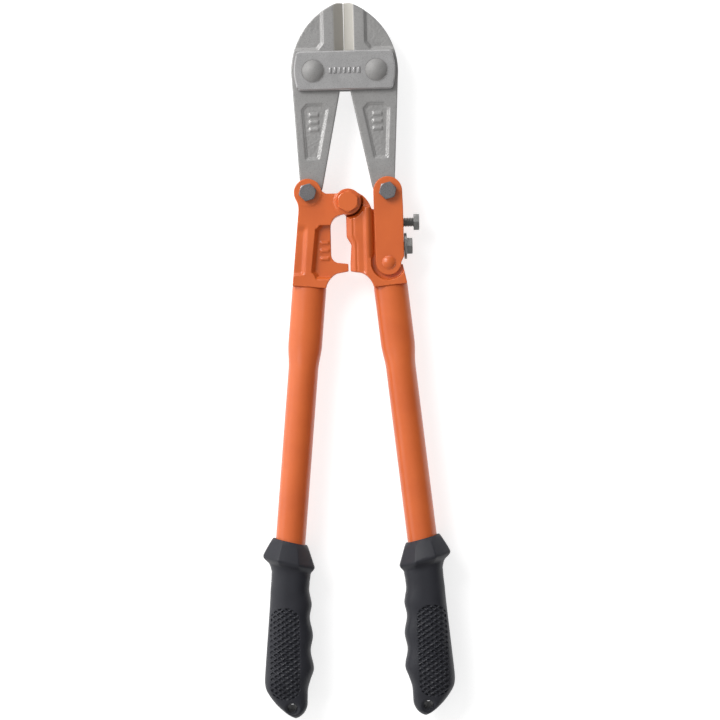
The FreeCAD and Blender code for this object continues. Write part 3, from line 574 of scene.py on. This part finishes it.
def finish_link_plates(sizes):
    """Two stamped plates with bulging ends, rounded corners and a row of raised bars between the rivets."""
    low, high = box_of("front_link_plate")
    bulge = 2.4 * MM
    half_width, half_height = high.x - bulge, (high.y - low.y) / 2
    centre_y = (low.y + high.y) / 2
    radius = (half_height ** 2 + bulge ** 2) / (2 * bulge)
    swing = degrees(asin(half_height / radius))
    middle_x = half_width + bulge - radius
    right = arc((middle_x, centre_y), radius, -swing, swing, 16)
    left = arc((-middle_x, centre_y), radius, 180 - swing, 180 + swing, 16)
    for node, outward in (("front_link_plate", 1), ("back_link_plate", -1)):
        low, high = box_of(node)
        bm = plate_from(right + left, low.z, high.z)
        outside = high.z if outward > 0 else low.z
        uprights = [edge for edge in bm.edges
                    if abs(edge.verts[0].co.z - edge.verts[1].co.z) > 1 * MM
                    and abs(abs(edge.verts[0].co.x) - half_width) < 0.2 * MM]
        bevel_edges(bm, uprights, 1.6 * MM, 4)
        rim = [edge for edge in bm.edges
               if all(abs(vert.co.z - outside) < 0.01 * MM for vert in edge.verts)
               and any(abs(face.normal.z) < 0.5 for face in edge.link_faces)]
        bevel_edges(bm, rim, 0.9 * MM, 1)
        bm = raise_bars(bm, outside, outward, centre_y)
        finish_piece(node, "pressing", bm, "plate_steel", 30)


def raise_bars(bm, outside, outward, centre_y):
    """Join a row of short raised bars with sloping sides to the face that shows, between the rivets."""
    count, pitch, rise, rooted = 7, 3.0 * MM, 0.6 * MM, 0.5 * MM
    half, reach, slope = 0.95 * MM, 2.0 * MM, 0.58 * MM
    top = outside + outward * rise
    low, high = sorted((outside - outward * rooted, top))
    bars = []
    for number in range(count):
        x = (number - (count - 1) / 2) * pitch
        corners = ((-1, -1), (1, -1), (1, 1), (-1, 1))
        bar = plate_from([(x + half * a, centre_y + reach * b) for a, b in corners], low, high)
        crest = [edge for edge in bar.edges if all(abs(vert.co.z - top) < 0.01 * MM for vert in edge.verts)]
        bevel_edges(bar, crest, slope, 2)
        bars.append(bar)
    return joined(bm, *bars)


def finish_link_rivets(sizes):
    """Domed rivets: a low cap with a rounded rim at each end of the shank."""
    for node in ("left_link_rivet", "right_link_rivet"):
        bm = domed_rivet(node, dome=2.9 * MM, cover=0.965, steps=10, rim=0.375 * MM, undercut=0.12 * MM,
                         shank=4.5 * MM)
        finish_piece(node, "turning", bm, "rivet_steel", 50)


# ---- bolts, nuts and washers

LET_IN = 1.0 * MM  # how far a shank runs up into its head


def hexagon(flats, low, high, corner, hole=0.0):
    """A hexagon about the Z axis with its corners turned off: on top of a head, or below on a nut."""
    reach = flats / sqrt(3) * 1.02
    face = flats / 2 * 0.97
    drop = (reach - face) * tan(radians(28))
    if hole:
        profile = [(hole, high), (reach, high), (reach, low + drop), (face, low), (hole, low)]
    else:
        profile = [(0, high), (face, high), (reach, high - drop), (reach, low), (0, low)]
    bm = spun(profile, 96)
    for side in range(6):
        angle = radians(30 + 60 * side)
        outward = Vector((cos(angle), sin(angle), 0))
        cut = bmesh.ops.bisect_plane(bm, geom=bm.verts[:] + bm.edges[:] + bm.faces[:],
                                     plane_co=outward * flats / 2, plane_no=outward, clear_outer=True)
        edges = [item for item in cut["geom_cut"] if isinstance(item, bmesh.types.BMEdge)]
        bmesh.ops.holes_fill(bm, edges=edges, sides=0)
    if hole:
        bm = joined(bm, spun([(hole, high), (hole, low)], 96))
        merge(bm, 0.002)
    uprights = []
    for edge in bm.edges:
        along = edge.verts[0].co - edge.verts[1].co
        if abs(along.z) > 0.9 * along.length > 0 and edge.calc_face_angle(0) > radians(30):
            uprights.append(edge)
    bevel_edges(bm, uprights, corner, 3)
    return bm


def bolt_with_head(node, radius, flats, head, corner):
    """A bmesh of a bolt about the Z axis: a shank with a turned-off end, let into a crowned hexagon."""
    low, high = box_of(node)
    seat, point = high.z - head, radius / 10
    shank = spun([(0, low.z), (radius - point, low.z), (radius, low.z + point), (radius, seat + LET_IN),
                  (0, seat + LET_IN)], 64)
    return joined(shank, hexagon(flats, seat, high.z, corner))


def finish_jaw_bolts(sizes):
    """The bolts, spring washers and nuts that hold the jaw tails."""
    radius, flats, corner = 3.0 * MM, 10.0 * MM, 0.2 * MM
    turn = Matrix.Rotation(radians(15), 4, "Z")
    for hand in ("left", "right"):
        bolt, nut = hand + "_jaw_bolt", hand + "_jaw_nut"
        centre = centre_of(bolt)
        place = Vector((centre.x, centre.y, 0))
        body = bolt_with_head(bolt, radius, flats, 4.6 * MM, corner)
        finish_piece(bolt, "steel", place_mesh(body, place, turn), "bolt_steel", 18)
        low, high = box_of(nut)
        body = hexagon(flats, low.z, high.z, corner, radius)
        finish_piece(nut, "steel", place_mesh(body, place, turn), "bolt_steel", 18)
        finish_spring_washer(hand + "_jaw_spring_washer")


def finish_spring_washer(node):
    """A split ring with a small gap, its section slightly rounded."""
    low, high = box_of(node)
    centre, inner, gap = centre_of(node), 3.05 * MM, radians(8)
    bm = bmesh.new()
    section = ring_section(inner, size_of(node).x / 2, low.z, high.z, 0.2 * MM)
    face = bm.faces.new([bm.verts.new((radius, 0, height)) for radius, height in section])
    bmesh.ops.spin(bm, geom=[face], cent=(0, 0, 0), axis=(0, 0, 1), angle=2 * pi - gap, steps=60,
                   use_merge=False)
    merge(bm, 0.001)
    finish_piece(node, "ring", place_mesh(bm, Vector((centre.x, centre.y, 0))), "zinc_steel", 30)


def finish_centre_bolt(sizes):
    """The painted centre bolt, its washer and its nut, about the frame's own Z axis."""
    radius, flats = 4.0 * MM, 12.0 * MM
    turn = Matrix.Rotation(radians(30), 4, "Z")
    bolt = place_mesh(bolt_with_head("centre_bolt", radius, flats, 5.0 * MM, 0.5 * MM), Vector(), turn)
    finish_piece("centre_bolt", "painted", bolt, "orange_paint", 18)
    low, high = box_of("centre_nut")
    nut = place_mesh(hexagon(flats, low.z, high.z, 0.3 * MM, radius), Vector(), turn)
    finish_piece("centre_nut", "steel", nut, "bolt_steel", 18)
    low, high = box_of("centre_washer")
    ring = flat_ring(radius, size_of("centre_washer").x / 2, low.z, high.z, 0.25 * MM)
    finish_piece("centre_washer", "ring", ring, "zinc_steel", 30)


# ---- side screws

def threaded_shank(radius, start, end, pitch, depth):
    """A threaded bar along Z from start to end: a tooth profile wound up the axis."""
    root = radius - depth
    turns = ceil((end - start) / pitch) + 1
    steps = 36
    bm = bmesh.new()
    tooth = [(root, 0.0), (root, 0.15), (radius, 0.45), (radius, 0.6), (root, 0.9), (root, 1.0)]
    verts = [bm.verts.new((reach, 0, start + (share - 1) * pitch)) for reach, share in tooth]
    edges = [bm.edges.new(pair) for pair in zip(verts, verts[1:])]
    bmesh.ops.spin(bm, geom=verts + edges, cent=(0, 0, 0), axis=(0, 0, 1), angle=2 * pi * turns,
                   steps=steps * turns, dvec=(0, 0, pitch / steps), use_merge=False)
    merge(bm, 0.004)
    for height, outward in ((start, (0, 0, -1)), (end, (0, 0, 1))):
        bmesh.ops.bisect_plane(bm, geom=bm.verts[:] + bm.edges[:] + bm.faces[:],
                               plane_co=(0, 0, height), plane_no=outward, clear_outer=True)
        merge(bm, 0.004)
        bmesh.ops.holes_fill(bm, edges=[edge for edge in bm.edges if edge.is_boundary], sides=0)
    return bm


def finish_side_screws(sizes):
    """The adjusting and locking screws, threaded, with hexagon heads that point outwards."""
    radius, flats, head = 3.0 * MM, 10.0 * MM, 3.6 * MM
    sideways = Matrix.Rotation(radians(90), 4, "Y")
    for node in ("adjusting_screw", "locking_screw", "locking_washer"):
        low, high = box_of(node)
        centre = centre_of(node)
        if node.endswith("screw"):
            seat = high.x - head
            shank = threaded_shank(radius, low.x, seat + LET_IN, sizes.thread_pitch, sizes.thread_depth)
            bm = joined(shank, hexagon(flats, seat, high.x, 0.25 * MM))
            kind, smooth_angle = "steel", 18
        else:
            bm = flat_ring(3.05 * MM, size_of(node).y / 2, low.x, high.x, 0.3 * MM)
            kind, smooth_angle = "ring", 30
        place_mesh(bm, Vector((0, centre.y, centre.z)), sideways)
        finish_piece(node, kind, bm, "zinc_steel", smooth_angle)


# ---- painted forgings and adjuster

# Outline of the metal left of the left fitting's pocket, in millimetres.
POCKET_WALL = [(-18.6, -14.4), (-21, -16.6), (-24.1, -44.3), (-22.1, -46.5), (-40, -46.5), (-40, -14.4)]


# Half heights over the middle plane, in millimetres: the fittings' faces, and the floors of their hollows.
FITTING_FACE, LEFT_FLOOR, RIGHT_FLOOR, LIP_TOP = 9.6, 5.2, 5.6, 10.6


def left_relief(x, y, height):
    """Work the left fitting's faces: a sunk outer band, a sloping pocket wall and a lower lip."""
    if height < 4.0:
        return height
    if height < 9.0 and -46.5 < y < -14.4 and x < -12.0:
        away, run = outside_by(POCKET_WALL, x, y), 2.4
        if away < run:
            height = max(height, LEFT_FLOOR + (FITTING_FACE - LEFT_FLOOR) * (1 - away / run))
    for mark_y in (-25.5, -30.5, -35.5):
        raised = 0.9 * ease((1.4 - abs(y - mark_y)) / 0.8) * ease((3.0 - abs(x + 15.2)) / 0.8)
        if raised > 0:
            height = max(height, LEFT_FLOOR + raised)
    rim_x = -25.3 + (y + 15.6) * 0.085
    band = ease((rim_x - x) / 3.0) * ease((-13.5 - y) / 5.0) * ease((y + 45.8) / 1.8)
    if band > 0:
        height = min(height, FITTING_FACE - 1.5 * band)
    if -50.2 < y < -46.0 and -22.5 < x < -12.0:
        height = min(height, LIP_TOP - 3.4 * ease((y + 50.2) / 4.0) * ease((x + 22.5) / 2.0))
    return height


def right_relief(x, y, height):
    """Work the right fitting's faces: a bevelled inner edge, a groove, a long ridge and a fall to the arm."""
    lower, upper = -47.0, 8.0
    if height < RIGHT_FLOOR or y < lower or y > upper:
        return height
    fade = ease((y - lower) / 3.0)
    facet_x = 3.0 + 1.8 * ease((-21.0 - y) / 6.0)
    inner = 2.2 * ease((facet_x - 0.6 - x) / 4.0)
    groove = 0.5 * exp(-((x - facet_x) / 0.55) ** 2)
    step = 0.9 * ease((11.0 - x) / 2.0)
    fall = 3.6 * ease((x - 12.0) / 4.5) * ease((18.0 - x) / 1.0) if y > -36.0 else 0.0
    drop = 3.4 * ease((y + 4.2) / 2.0) * ease((x - 4.0) / 3.0)
    ring = 2.6 * ease((11.6 - hypot(x, y)) / 1.8)
    sunk = fade * max(inner + groove + step, fall, drop, ring)
    return min(height, max(FITTING_FACE - sunk, RIGHT_FLOOR))


def finish_forgings(sizes):
    """The two handle fittings, as painted forgings with soft edges."""
    for node, relief in (("left_fitting", left_relief), ("right_fitting", right_relief)):
        piece = forged_copy(node, sizes.forging_voxel, 4, ["orange_paint"], relief)
        declare(piece, body_of(node), "orange_paint", node)


def finish_adjuster(sizes):
    """The folded adjuster arm and its domed rivet, both painted."""
    piece = forged_copy("adjuster_arm", sizes.arm_voxel, 4, ["orange_paint"])
    declare(piece, "adjuster_arm", "orange_paint", "adjuster_arm")
    bm = domed_rivet("adjuster_rivet", dome=1.7 * MM, cover=0.97, steps=8, rim=0.15 * MM, undercut=0.1 * MM,
                     shank=3.0 * MM, sides=48)
    finish_piece("adjuster_rivet", "turning", bm, "orange_paint", 50)


# ---- handle tubes

TUBE_LEAN = radians(5.68)
TUBE_START = Vector((25.6 * MM, -53.1 * MM, 0))
TUBE_LENGTH = 245.0 * MM
TUBE_RADIUS = 9.4 * MM
OVAL = (10.7 * MM, 8.8 * MM)
OVAL_LENGTH, OVAL_FADE = 36 * MM, 16 * MM


def tube_half_widths(along):
    """Half width and half depth of the tube at a distance from its top end."""
    share = ease((along - OVAL_LENGTH) / OVAL_FADE)
    return (OVAL[0] + (TUBE_RADIUS - OVAL[0]) * share, OVAL[1] + (TUBE_RADIUS - OVAL[1]) * share)


def finish_tubes(sizes):
    """Round handle tubes, each squeezed to an oval over the fitting's tang."""
    wall, edge = 1.5 * MM, 0.4 * MM
    stations = [0.0, 0.15 * MM, edge] + [step * 2 * MM for step in range(1, 40)]
    stations += [TUBE_LENGTH * share for share in (0.45, 0.6, 0.75, 0.9, 1.0)]
    for side, hand in ((-1, "left"), (1, "right")):
        bm = bmesh.new()
        ring = bmesh.ops.create_circle(bm, segments=72, radius=1.0)["verts"]
        unit = [(vert.co.x, vert.co.y) for vert in ring]
        edges = list(bm.edges)
        path = [(along, max(0.0, edge - along) * 0.6) for along in stations]
        path += [(along, wall) for along in reversed(stations[2:])] + [(0.0, wall)]
        rows = []
        for number, (along, inset) in enumerate(path):
            if number:
                ring, edges = extend_loop(bm, edges)
            half_width, half_depth = tube_half_widths(along)
            for vert, (across, deep) in zip(ring, unit):
                vert.co = (across * (half_width - inset), deep * (half_depth - inset), along)
            rows.append(edges)
        bmesh.ops.bridge_loops(bm, edges=rows[0] + rows[-1])
        lay = Matrix.Rotation(side * TUBE_LEAN, 4, "Z") @ Matrix.Rotation(radians(90), 4, "X")
        place_mesh(bm, Vector((side * TUBE_START.x, TUBE_START.y, MIDDLE)), lay)
        finish_piece(hand + "_tube", "painted", bm, "orange_paint", 30)


# ---- grips

# All in millimetres. Down the outer and the inner edge of a grip, below its collar: place along Y and
# distance from the middle line.
OUTER_EDGE = [(-232, 54.6), (-236, 53.9), (-250, 55.3), (-270, 57.2), (-290, 59.1), (-298, 59.8),
              (-302, 59.9), (-306, 59.2), (-310, 57.1), (-315.5, 53), (-320, 48.4), (-323, 44.4),
              (-324.4, 41.4)]
INNER_EDGE = [(-232, 29.6), (-238, 30.5), (-243, 30.6), (-252.5, 29.2), (-261.5, 30.6), (-272.3, 28.9),
              (-282.3, 30.5), (-293.3, 28.8), (-300, 31), (-306, 32.8), (-312, 33.2), (-317, 33.6),
              (-321, 35.6), (-323.6, 38.6), (-324.4, 40.8)]
# Down the collar: place along Y, then half width, half depth and distance from the middle line.
COLLAR_WIDTH = [(-213, 10.6), (-214.2, 11.3), (-224.5, 15.7), (-226.2, 15.95), (-227.8, 15),
                (-229.8, 13.2), (-232, 12.5)]
COLLAR_DEPTH = COLLAR_WIDTH[:4] + [(-227.8, 14.6), (-229.8, 12.3), (-232, 11.6)]
COLLAR_MIDDLE = [(-213, 41.7), (-226.2, 42.9), (-232, 42.1)]
COLLAR_TOP, COLLAR_END, DEEPEST = -213.0, -232.0, 15.95
COLLAR_SLANT, GRIP_SLANT = tan(radians(14.3)), 0.30
BODY_DEPTH, TAB_DEPTH = 11.6, 6.9
ROUNDNESS = 2.0 / 2.6  # 1 gives an ellipse, less gives fuller corners
TAB_START, END_START, END_LENGTH = -296.0, -318.0, 6.5
HOLE_X, HOLE_Y, HOLE_SLANT, HOLE_RADIUS = 42.9, -315.5, 24, 3.2


def through(keys, where):
    """The smooth curve through keys of (place, value), with places falling, read at one place."""
    if where >= keys[0][0]:
        return keys[0][1]
    if where <= keys[-1][0]:
        return keys[-1][1]
    index = next(number for number in range(1, len(keys)) if keys[number][0] <= where)
    (before, first), (after, last) = keys[index - 1], keys[index]
    share = (where - before) / (after - before)

    def slope(number):
        low, high = max(number - 1, 0), min(number + 1, len(keys) - 1)
        return (keys[high][1] - keys[low][1]) / (keys[high][0] - keys[low][0])

    span = after - before
    start, end = slope(index - 1) * span, slope(index) * span
    square, cube = share ** 2, share ** 3
    return ((2 * cube - 3 * square + 1) * first + (cube - 2 * square + share) * start
            + (3 * square - 2 * cube) * last + (cube - square) * end)


def octagon_reach(angle):
    """Distance from the middle to the edge of an octagon with rounded corners, 1 at the middle of a side."""
    turn, rounding = pi / 4, 0.25
    off = (angle + turn / 2) % turn - turn / 2
    return (1 - rounding) / cos(off) + 1.035 * rounding


def fuller(share):
    """Cosine or sine of an angle, drawn out to fuller corners than an ellipse has."""
    return copysign(abs(share) ** ROUNDNESS, share)


def section_at(level, angle):
    """Point on the grip, on the right-hand half, at a level along Y and an angle round it."""
    if level > COLLAR_END:
        return collar_point(level, angle)
    outer, inner = through(OUTER_EDGE, level), through(INNER_EDGE, level)
    half, middle = max((outer - inner) / 2, 0.05), (outer + inner) / 2
    depth = BODY_DEPTH + (TAB_DEPTH - BODY_DEPTH) * ease((TAB_START - level) / 22.0)
    if level < END_START:
        depth *= sqrt(max(0.0, 1 - ((END_START - level) / END_LENGTH) ** 2))
    across = half * fuller(cos(angle))
    lift = max(depth, 0.05) * fuller(sin(angle))
    slant = GRIP_SLANT * (1 - ease((COLLAR_END - level) / 26.0))
    return middle + across, level + across * slant, lift


def collar_point(level, angle):
    """Point on the flared eight-sided collar above the waist."""
    width, depth = through(COLLAR_WIDTH, level), through(COLLAR_DEPTH, level)
    middle = through(COLLAR_MIDDLE, level)
    facet = ease((COLLAR_TOP - level) / 3.0) * (1 - ease((-level - 226.5) / 4.5))
    shape = octagon_reach(angle) * facet + (1 - facet)
    rounder = ease((-level - 227.0) / 5.0)
    power = 1 + (ROUNDNESS - 1) * rounder
    cross, deep = cos(angle), sin(angle)
    across = width * shape * copysign(abs(cross) ** power, cross)
    lift = depth * shape * copysign(abs(deep) ** power, deep)
    lift = max(min(lift, DEEPEST), -DEEPEST)
    slant = COLLAR_SLANT + (GRIP_SLANT - COLLAR_SLANT) * rounder
    return middle + across, level + across * slant, lift


def panel_cover(x, y):
    """How far a point lies inside the knurled panel: 1 inside, 0 outside, with rounded ends."""
    top, bottom, reach, fade = -254.5, -312.5, 7.5, 0.8
    middle = 46.2 + (top - y) * 0.012
    end = max(0.0, (y - (top - reach)) / reach, ((bottom + reach) - y) / reach)
    if end >= 1:
        return 0.0
    half = 9.6 * sqrt(1 - end ** 2)
    return ease((half - abs(x - middle)) / fade)


def diamond_depth(x, y, across, along):
    """Depth of the diamond lattice, 0 on its raised lines and 1 in the middle of a diamond."""
    first, second = x / across + y / along, x / across - y / along
    gap = min(abs(first - round(first)), abs(second - round(second)))
    return ease((gap - 0.10) / 0.17)


def grip_levels():
    """Levels of the rings down a grip, close together in the knurled panel and at the end."""
    levels = [COLLAR_TOP - 0.4 * step for step in range(4)]
    levels += [-214.6 - 0.7 * step for step in range(25)]
    levels += [COLLAR_END - 0.45 * step for step in range(1, 45)]
    levels += [-252.4 - 0.42 * step for step in range(146)]
    levels += [-314.0 - 0.5 * step for step in range(13)]
    levels += [-320.4 - 4.0 * sin(pi / 2 * step / 14) for step in range(1, 15)]
    return levels


def finish_grips(sizes):
    """Moulded grips: eight-sided collar, finger swellings, ribs, knurled panels and a hanging hole."""
    across, along = sizes.knurl_across / MM, sizes.knurl_along / MM
    sunk, rib = sizes.knurl_depth / MM, sizes.rib_pitch / MM
    count = 176
    angles = [2 * pi * number / count for number in range(count)]
    for side, hand in ((-1, "left"), (1, "right")):
        node = hand + "_grip"
        bm = bmesh.new()
        ring = bmesh.ops.create_circle(bm, segments=count, radius=1.0)["verts"]
        edges = list(bm.edges)
        first_edges = edges
        for number, level in enumerate(grip_levels()):
            if number:
                ring, edges = extend_loop(bm, edges)
            for vert, angle in zip(ring, angles):
                vert.co = grip_point(level, angle, across, along, sunk, rib)
        bmesh.ops.holes_fill(bm, edges=edges, sides=0)
        close_rim(bm, first_edges)
        for vert in bm.verts:
            vert.co = Vector((side * vert.co.x * MM, vert.co.y * MM, MIDDLE + vert.co.z * MM))
        piece = put_in_scene(node + "_moulding", bm, ["grip_vinyl"], 60)
        drill_hanging_hole(piece, side)
        declare(piece, body_of(node), "grip_rubber", node)


def grip_point(level, angle, across, along, sunk, rib):
    """Point on the grip with its diamonds, its ribs and the dimple round the hanging hole."""
    x, y, z = section_at(level, angle)
    facing = abs(sin(angle))
    if facing > 0.5:
        inward = sunk * panel_cover(x, y) * diamond_depth(x, y, across, along)
        z -= copysign(inward, z)
    ribs_top, ribs_end, ribs_side = -235.0, -249.0, 0.62
    if ribs_end < level < ribs_top and facing < ribs_side:
        fade = ease((ribs_top - level) / 1.5) * ease((level - ribs_end) / 3.0)
        bulge = 0.22 * fade * ease((ribs_side - facing) / 0.2) * sin(2 * pi * level / rib)
        x += copysign(bulge, cos(angle))
    dimple = hypot(x - HOLE_X, y - HOLE_Y + 0.445 * z)
    if dimple < 5.2:
        z -= copysign(1.3 * ease((5.2 - dimple) / 2.4), z)
    return x, y, z


def close_rim(bm, edges):
    """Turn the collar's top edge in to the tube and down into the grip."""
    for scale, drop in ((0.93, 0.25), (0.905, 0.9), (1.0, 4.0)):
        ring, edges = extend_loop(bm, edges)
        middle = sum((vert.co for vert in ring), Vector()) / len(ring)
        for vert in ring:
            vert.co = middle + (vert.co - middle) * scale
            vert.co.y -= drop
    bmesh.ops.holes_fill(bm, edges=edges, sides=0)


def drill_hanging_hole(piece, side):
    """Cut the hanging hole through the flat tab at the grip's end."""
    bm = bmesh.new()
    bmesh.ops.create_cone(bm, cap_ends=True, segments=48, radius1=HOLE_RADIUS * MM, radius2=HOLE_RADIUS * MM,
                          depth=40 * MM)
    place_mesh(bm, Vector((side * HOLE_X * MM, HOLE_Y * MM, MIDDLE)),
               Matrix.Rotation(radians(HOLE_SLANT), 4, "X"))
    drill = put_in_scene("drill", bm, [])
    cut = piece.modifiers.new("hanging_hole", "BOOLEAN")
    cut.operation = "DIFFERENCE"
    cut.solver = "EXACT"
    cut.object = drill
    apply_modifiers(piece)
    bpy.data.objects.remove(drill)
    piece.data.shade_smooth()
    piece.data.set_sharp_from_angle(angle=radians(50))


# ---- stage

def area_light(name, place, target, size, power):
    data = bpy.data.lights.new(name, "AREA")
    data.shape = "RECTANGLE"
    data.size, data.size_y = size
    data.energy = power
    light = add_object(name, data)
    light.location = place
    light.rotation_euler = (Vector(target) - Vector(place)).to_track_quat("-Z", "Y").to_euler()


def build_stage(sizes, colours):
    """Pale floor, soft light from the upper left, and a long lens straight above the tool."""
    low = CAD_BOX[0][2]
    bm = bmesh.new()
    bmesh.ops.create_grid(bm, x_segments=1, y_segments=1, size=6.0)
    moved(bm, bm.verts, (0, 0, low - 0.2 * MM))
    mesh = bpy.data.meshes.new("floor")
    bm.to_mesh(mesh)
    bm.free()
    floor = add_object("floor", mesh)
    tree, shader, place = new_material("floor_paper")
    grain = place_grain(tree, place, Fine_Scale=300, Broad_Scale=3)
    tree.links.new(mix_colours(tree, grain["Mottle"], colours.floor, scaled(colours.floor, 0.985), (0, 200)),
                   shader.inputs["Base Color"])
    shader.inputs["Roughness"].default_value = 0.9
    shader.inputs["Emission Color"].default_value = (1, 1, 1, 1)
    shader.inputs["Emission Strength"].default_value = 0.70
    mesh.materials.append(bpy.data.materials["floor_paper_finish"])

    world = bpy.data.worlds.new("studio")
    world.use_nodes = True
    sky = world.node_tree.nodes["Background"]
    sky.inputs["Color"].default_value = (1, 1, 1, 1)
    heading = add_node(world.node_tree, "ShaderNodeTexCoord", (-700, 0))
    across = add_node(world.node_tree, "ShaderNodeSeparateXYZ", (-500, 0))
    world.node_tree.links.new(heading.outputs["Generated"], across.inputs[0])
    brightness = map_value(world.node_tree, across.outputs["X"], 0.55, 0.20, (-250, 0), 0.1, 0.8)
    world.node_tree.links.new(brightness, sky.inputs["Strength"])
    bpy.context.scene.world = world
    bpy.context.scene.view_settings.view_transform = "Standard"

    middle = (0, -0.1, MIDDLE)
    area_light("key", (-0.95, 0.75, 1.2), middle, (0.9, 0.9), 23)
    area_light("side", (-1.5, -0.15, 0.45), middle, (1.6, 0.8), 5)
    area_light("upper", (-0.2, 1.6, 0.5), (0, 0, MIDDLE), (1.4, 0.5), 5)

    data = bpy.data.cameras.new("camera")
    data.lens = sizes.camera_lens
    camera = add_object("camera", data)
    distance = sizes.view_width * data.lens / data.sensor_width
    aim = Vector((5.1 * MM, -99.7 * MM, MIDDLE))
    camera.location = aim + Vector((0, 0, distance))
    camera.rotation_euler = (0, 0, -sizes.view_roll)
    data.clip_end = 20
    bpy.context.scene.camera = camera


# ---- operators and panel

class CutterOperator:
    """What the piece operators share: they pass the sizes to their maker."""
    bl_options = {"REGISTER", "UNDO"}
    maker = None

    def execute(self, context):
        type(self).maker(context.scene.cutter_sizes)
        return {"FINISHED"}


class CUTTER_OT_materials(bpy.types.Operator):
    """Make every finish of the tool"""
    bl_idname = "cutter.materials"
    bl_label = "Finishes"

    def execute(self, context):
        make_materials(context.scene.cutter_colours)
        return {"FINISHED"}


class CUTTER_OT_stage(bpy.types.Operator):
    """Lay the floor and set up the lights and the camera"""
    bl_idname = "cutter.stage"
    bl_label = "Stage"

    def execute(self, context):
        build_stage(context.scene.cutter_sizes, context.scene.cutter_colours)
        return {"FINISHED"}


class CUTTER_OT_jaws(CutterOperator, bpy.types.Operator):
    """Finish both jaws"""
    bl_idname = "cutter.jaws"
    bl_label = "Jaws"
    maker = finish_jaws


class CUTTER_OT_link_plates(CutterOperator, bpy.types.Operator):
    """Make the two link plates"""
    bl_idname = "cutter.link_plates"
    bl_label = "Link plates"
    maker = finish_link_plates


class CUTTER_OT_link_rivets(CutterOperator, bpy.types.Operator):
    """Make the two link rivets"""
    bl_idname = "cutter.link_rivets"
    bl_label = "Link rivets"
    maker = finish_link_rivets


class CUTTER_OT_forgings(CutterOperator, bpy.types.Operator):
    """Finish the two handle fittings"""
    bl_idname = "cutter.forgings"
    bl_label = "Handle fittings"
    maker = finish_forgings


class CUTTER_OT_adjuster(CutterOperator, bpy.types.Operator):
    """Finish the adjuster arm and its rivet"""
    bl_idname = "cutter.adjuster"
    bl_label = "Adjuster arm"
    maker = finish_adjuster


class CUTTER_OT_side_screws(CutterOperator, bpy.types.Operator):
    """Make the adjusting and locking screws"""
    bl_idname = "cutter.side_screws"
    bl_label = "Side screws"
    maker = finish_side_screws


class CUTTER_OT_jaw_bolts(CutterOperator, bpy.types.Operator):
    """Make the bolts, washers and nuts at the jaw tails"""
    bl_idname = "cutter.jaw_bolts"
    bl_label = "Jaw bolts"
    maker = finish_jaw_bolts


class CUTTER_OT_centre_bolt(CutterOperator, bpy.types.Operator):
    """Make the centre bolt, washer and nut"""
    bl_idname = "cutter.centre_bolt"
    bl_label = "Centre bolt"
    maker = finish_centre_bolt


class CUTTER_OT_tubes(CutterOperator, bpy.types.Operator):
    """Make the two handle tubes"""
    bl_idname = "cutter.tubes"
    bl_label = "Handle tubes"
    maker = finish_tubes


class CUTTER_OT_grips(CutterOperator, bpy.types.Operator):
    """Mould the two grips"""
    bl_idname = "cutter.grips"
    bl_label = "Grips"
    maker = finish_grips


OPERATORS = (
    CUTTER_OT_materials, CUTTER_OT_stage, CUTTER_OT_jaws, CUTTER_OT_link_plates, CUTTER_OT_link_rivets,
    CUTTER_OT_forgings, CUTTER_OT_adjuster, CUTTER_OT_side_screws, CUTTER_OT_jaw_bolts, CUTTER_OT_centre_bolt,
    CUTTER_OT_tubes, CUTTER_OT_grips,
)


class CUTTER_PT_panel(bpy.types.Panel):
    """Lists the pieces of the tool"""
    bl_label = "Bolt Cutters"
    bl_idname = "CUTTER_PT_panel"
    bl_space_type = "VIEW_3D"
    bl_region_type = "UI"
    bl_category = "Bolt Cutters"

    def draw(self, context):
        for operator in OPERATORS:
            self.layout.operator(operator.bl_idname)
        for group in (context.scene.cutter_sizes, context.scene.cutter_colours):
            box = self.layout.box()
            for name in group.__annotations__:
                box.prop(group, name)


CLASSES = (CutterSizes, CutterColours, *OPERATORS, CUTTER_PT_panel)


def register():
    for item in CLASSES:
        bpy.utils.register_class(item)
    bpy.types.Scene.cutter_sizes = bpy.props.PointerProperty(type=CutterSizes)
    bpy.types.Scene.cutter_colours = bpy.props.PointerProperty(type=CutterColours)


def unregister():
    del bpy.types.Scene.cutter_colours
    del bpy.types.Scene.cutter_sizes
    for item in reversed(CLASSES):
        bpy.utils.unregister_class(item)


def main():
    register()
    for operator in OPERATORS:
        family, name = operator.bl_idname.split(".")
        getattr(getattr(bpy.ops, family), name)()


if __name__ == "__main__":
    main()
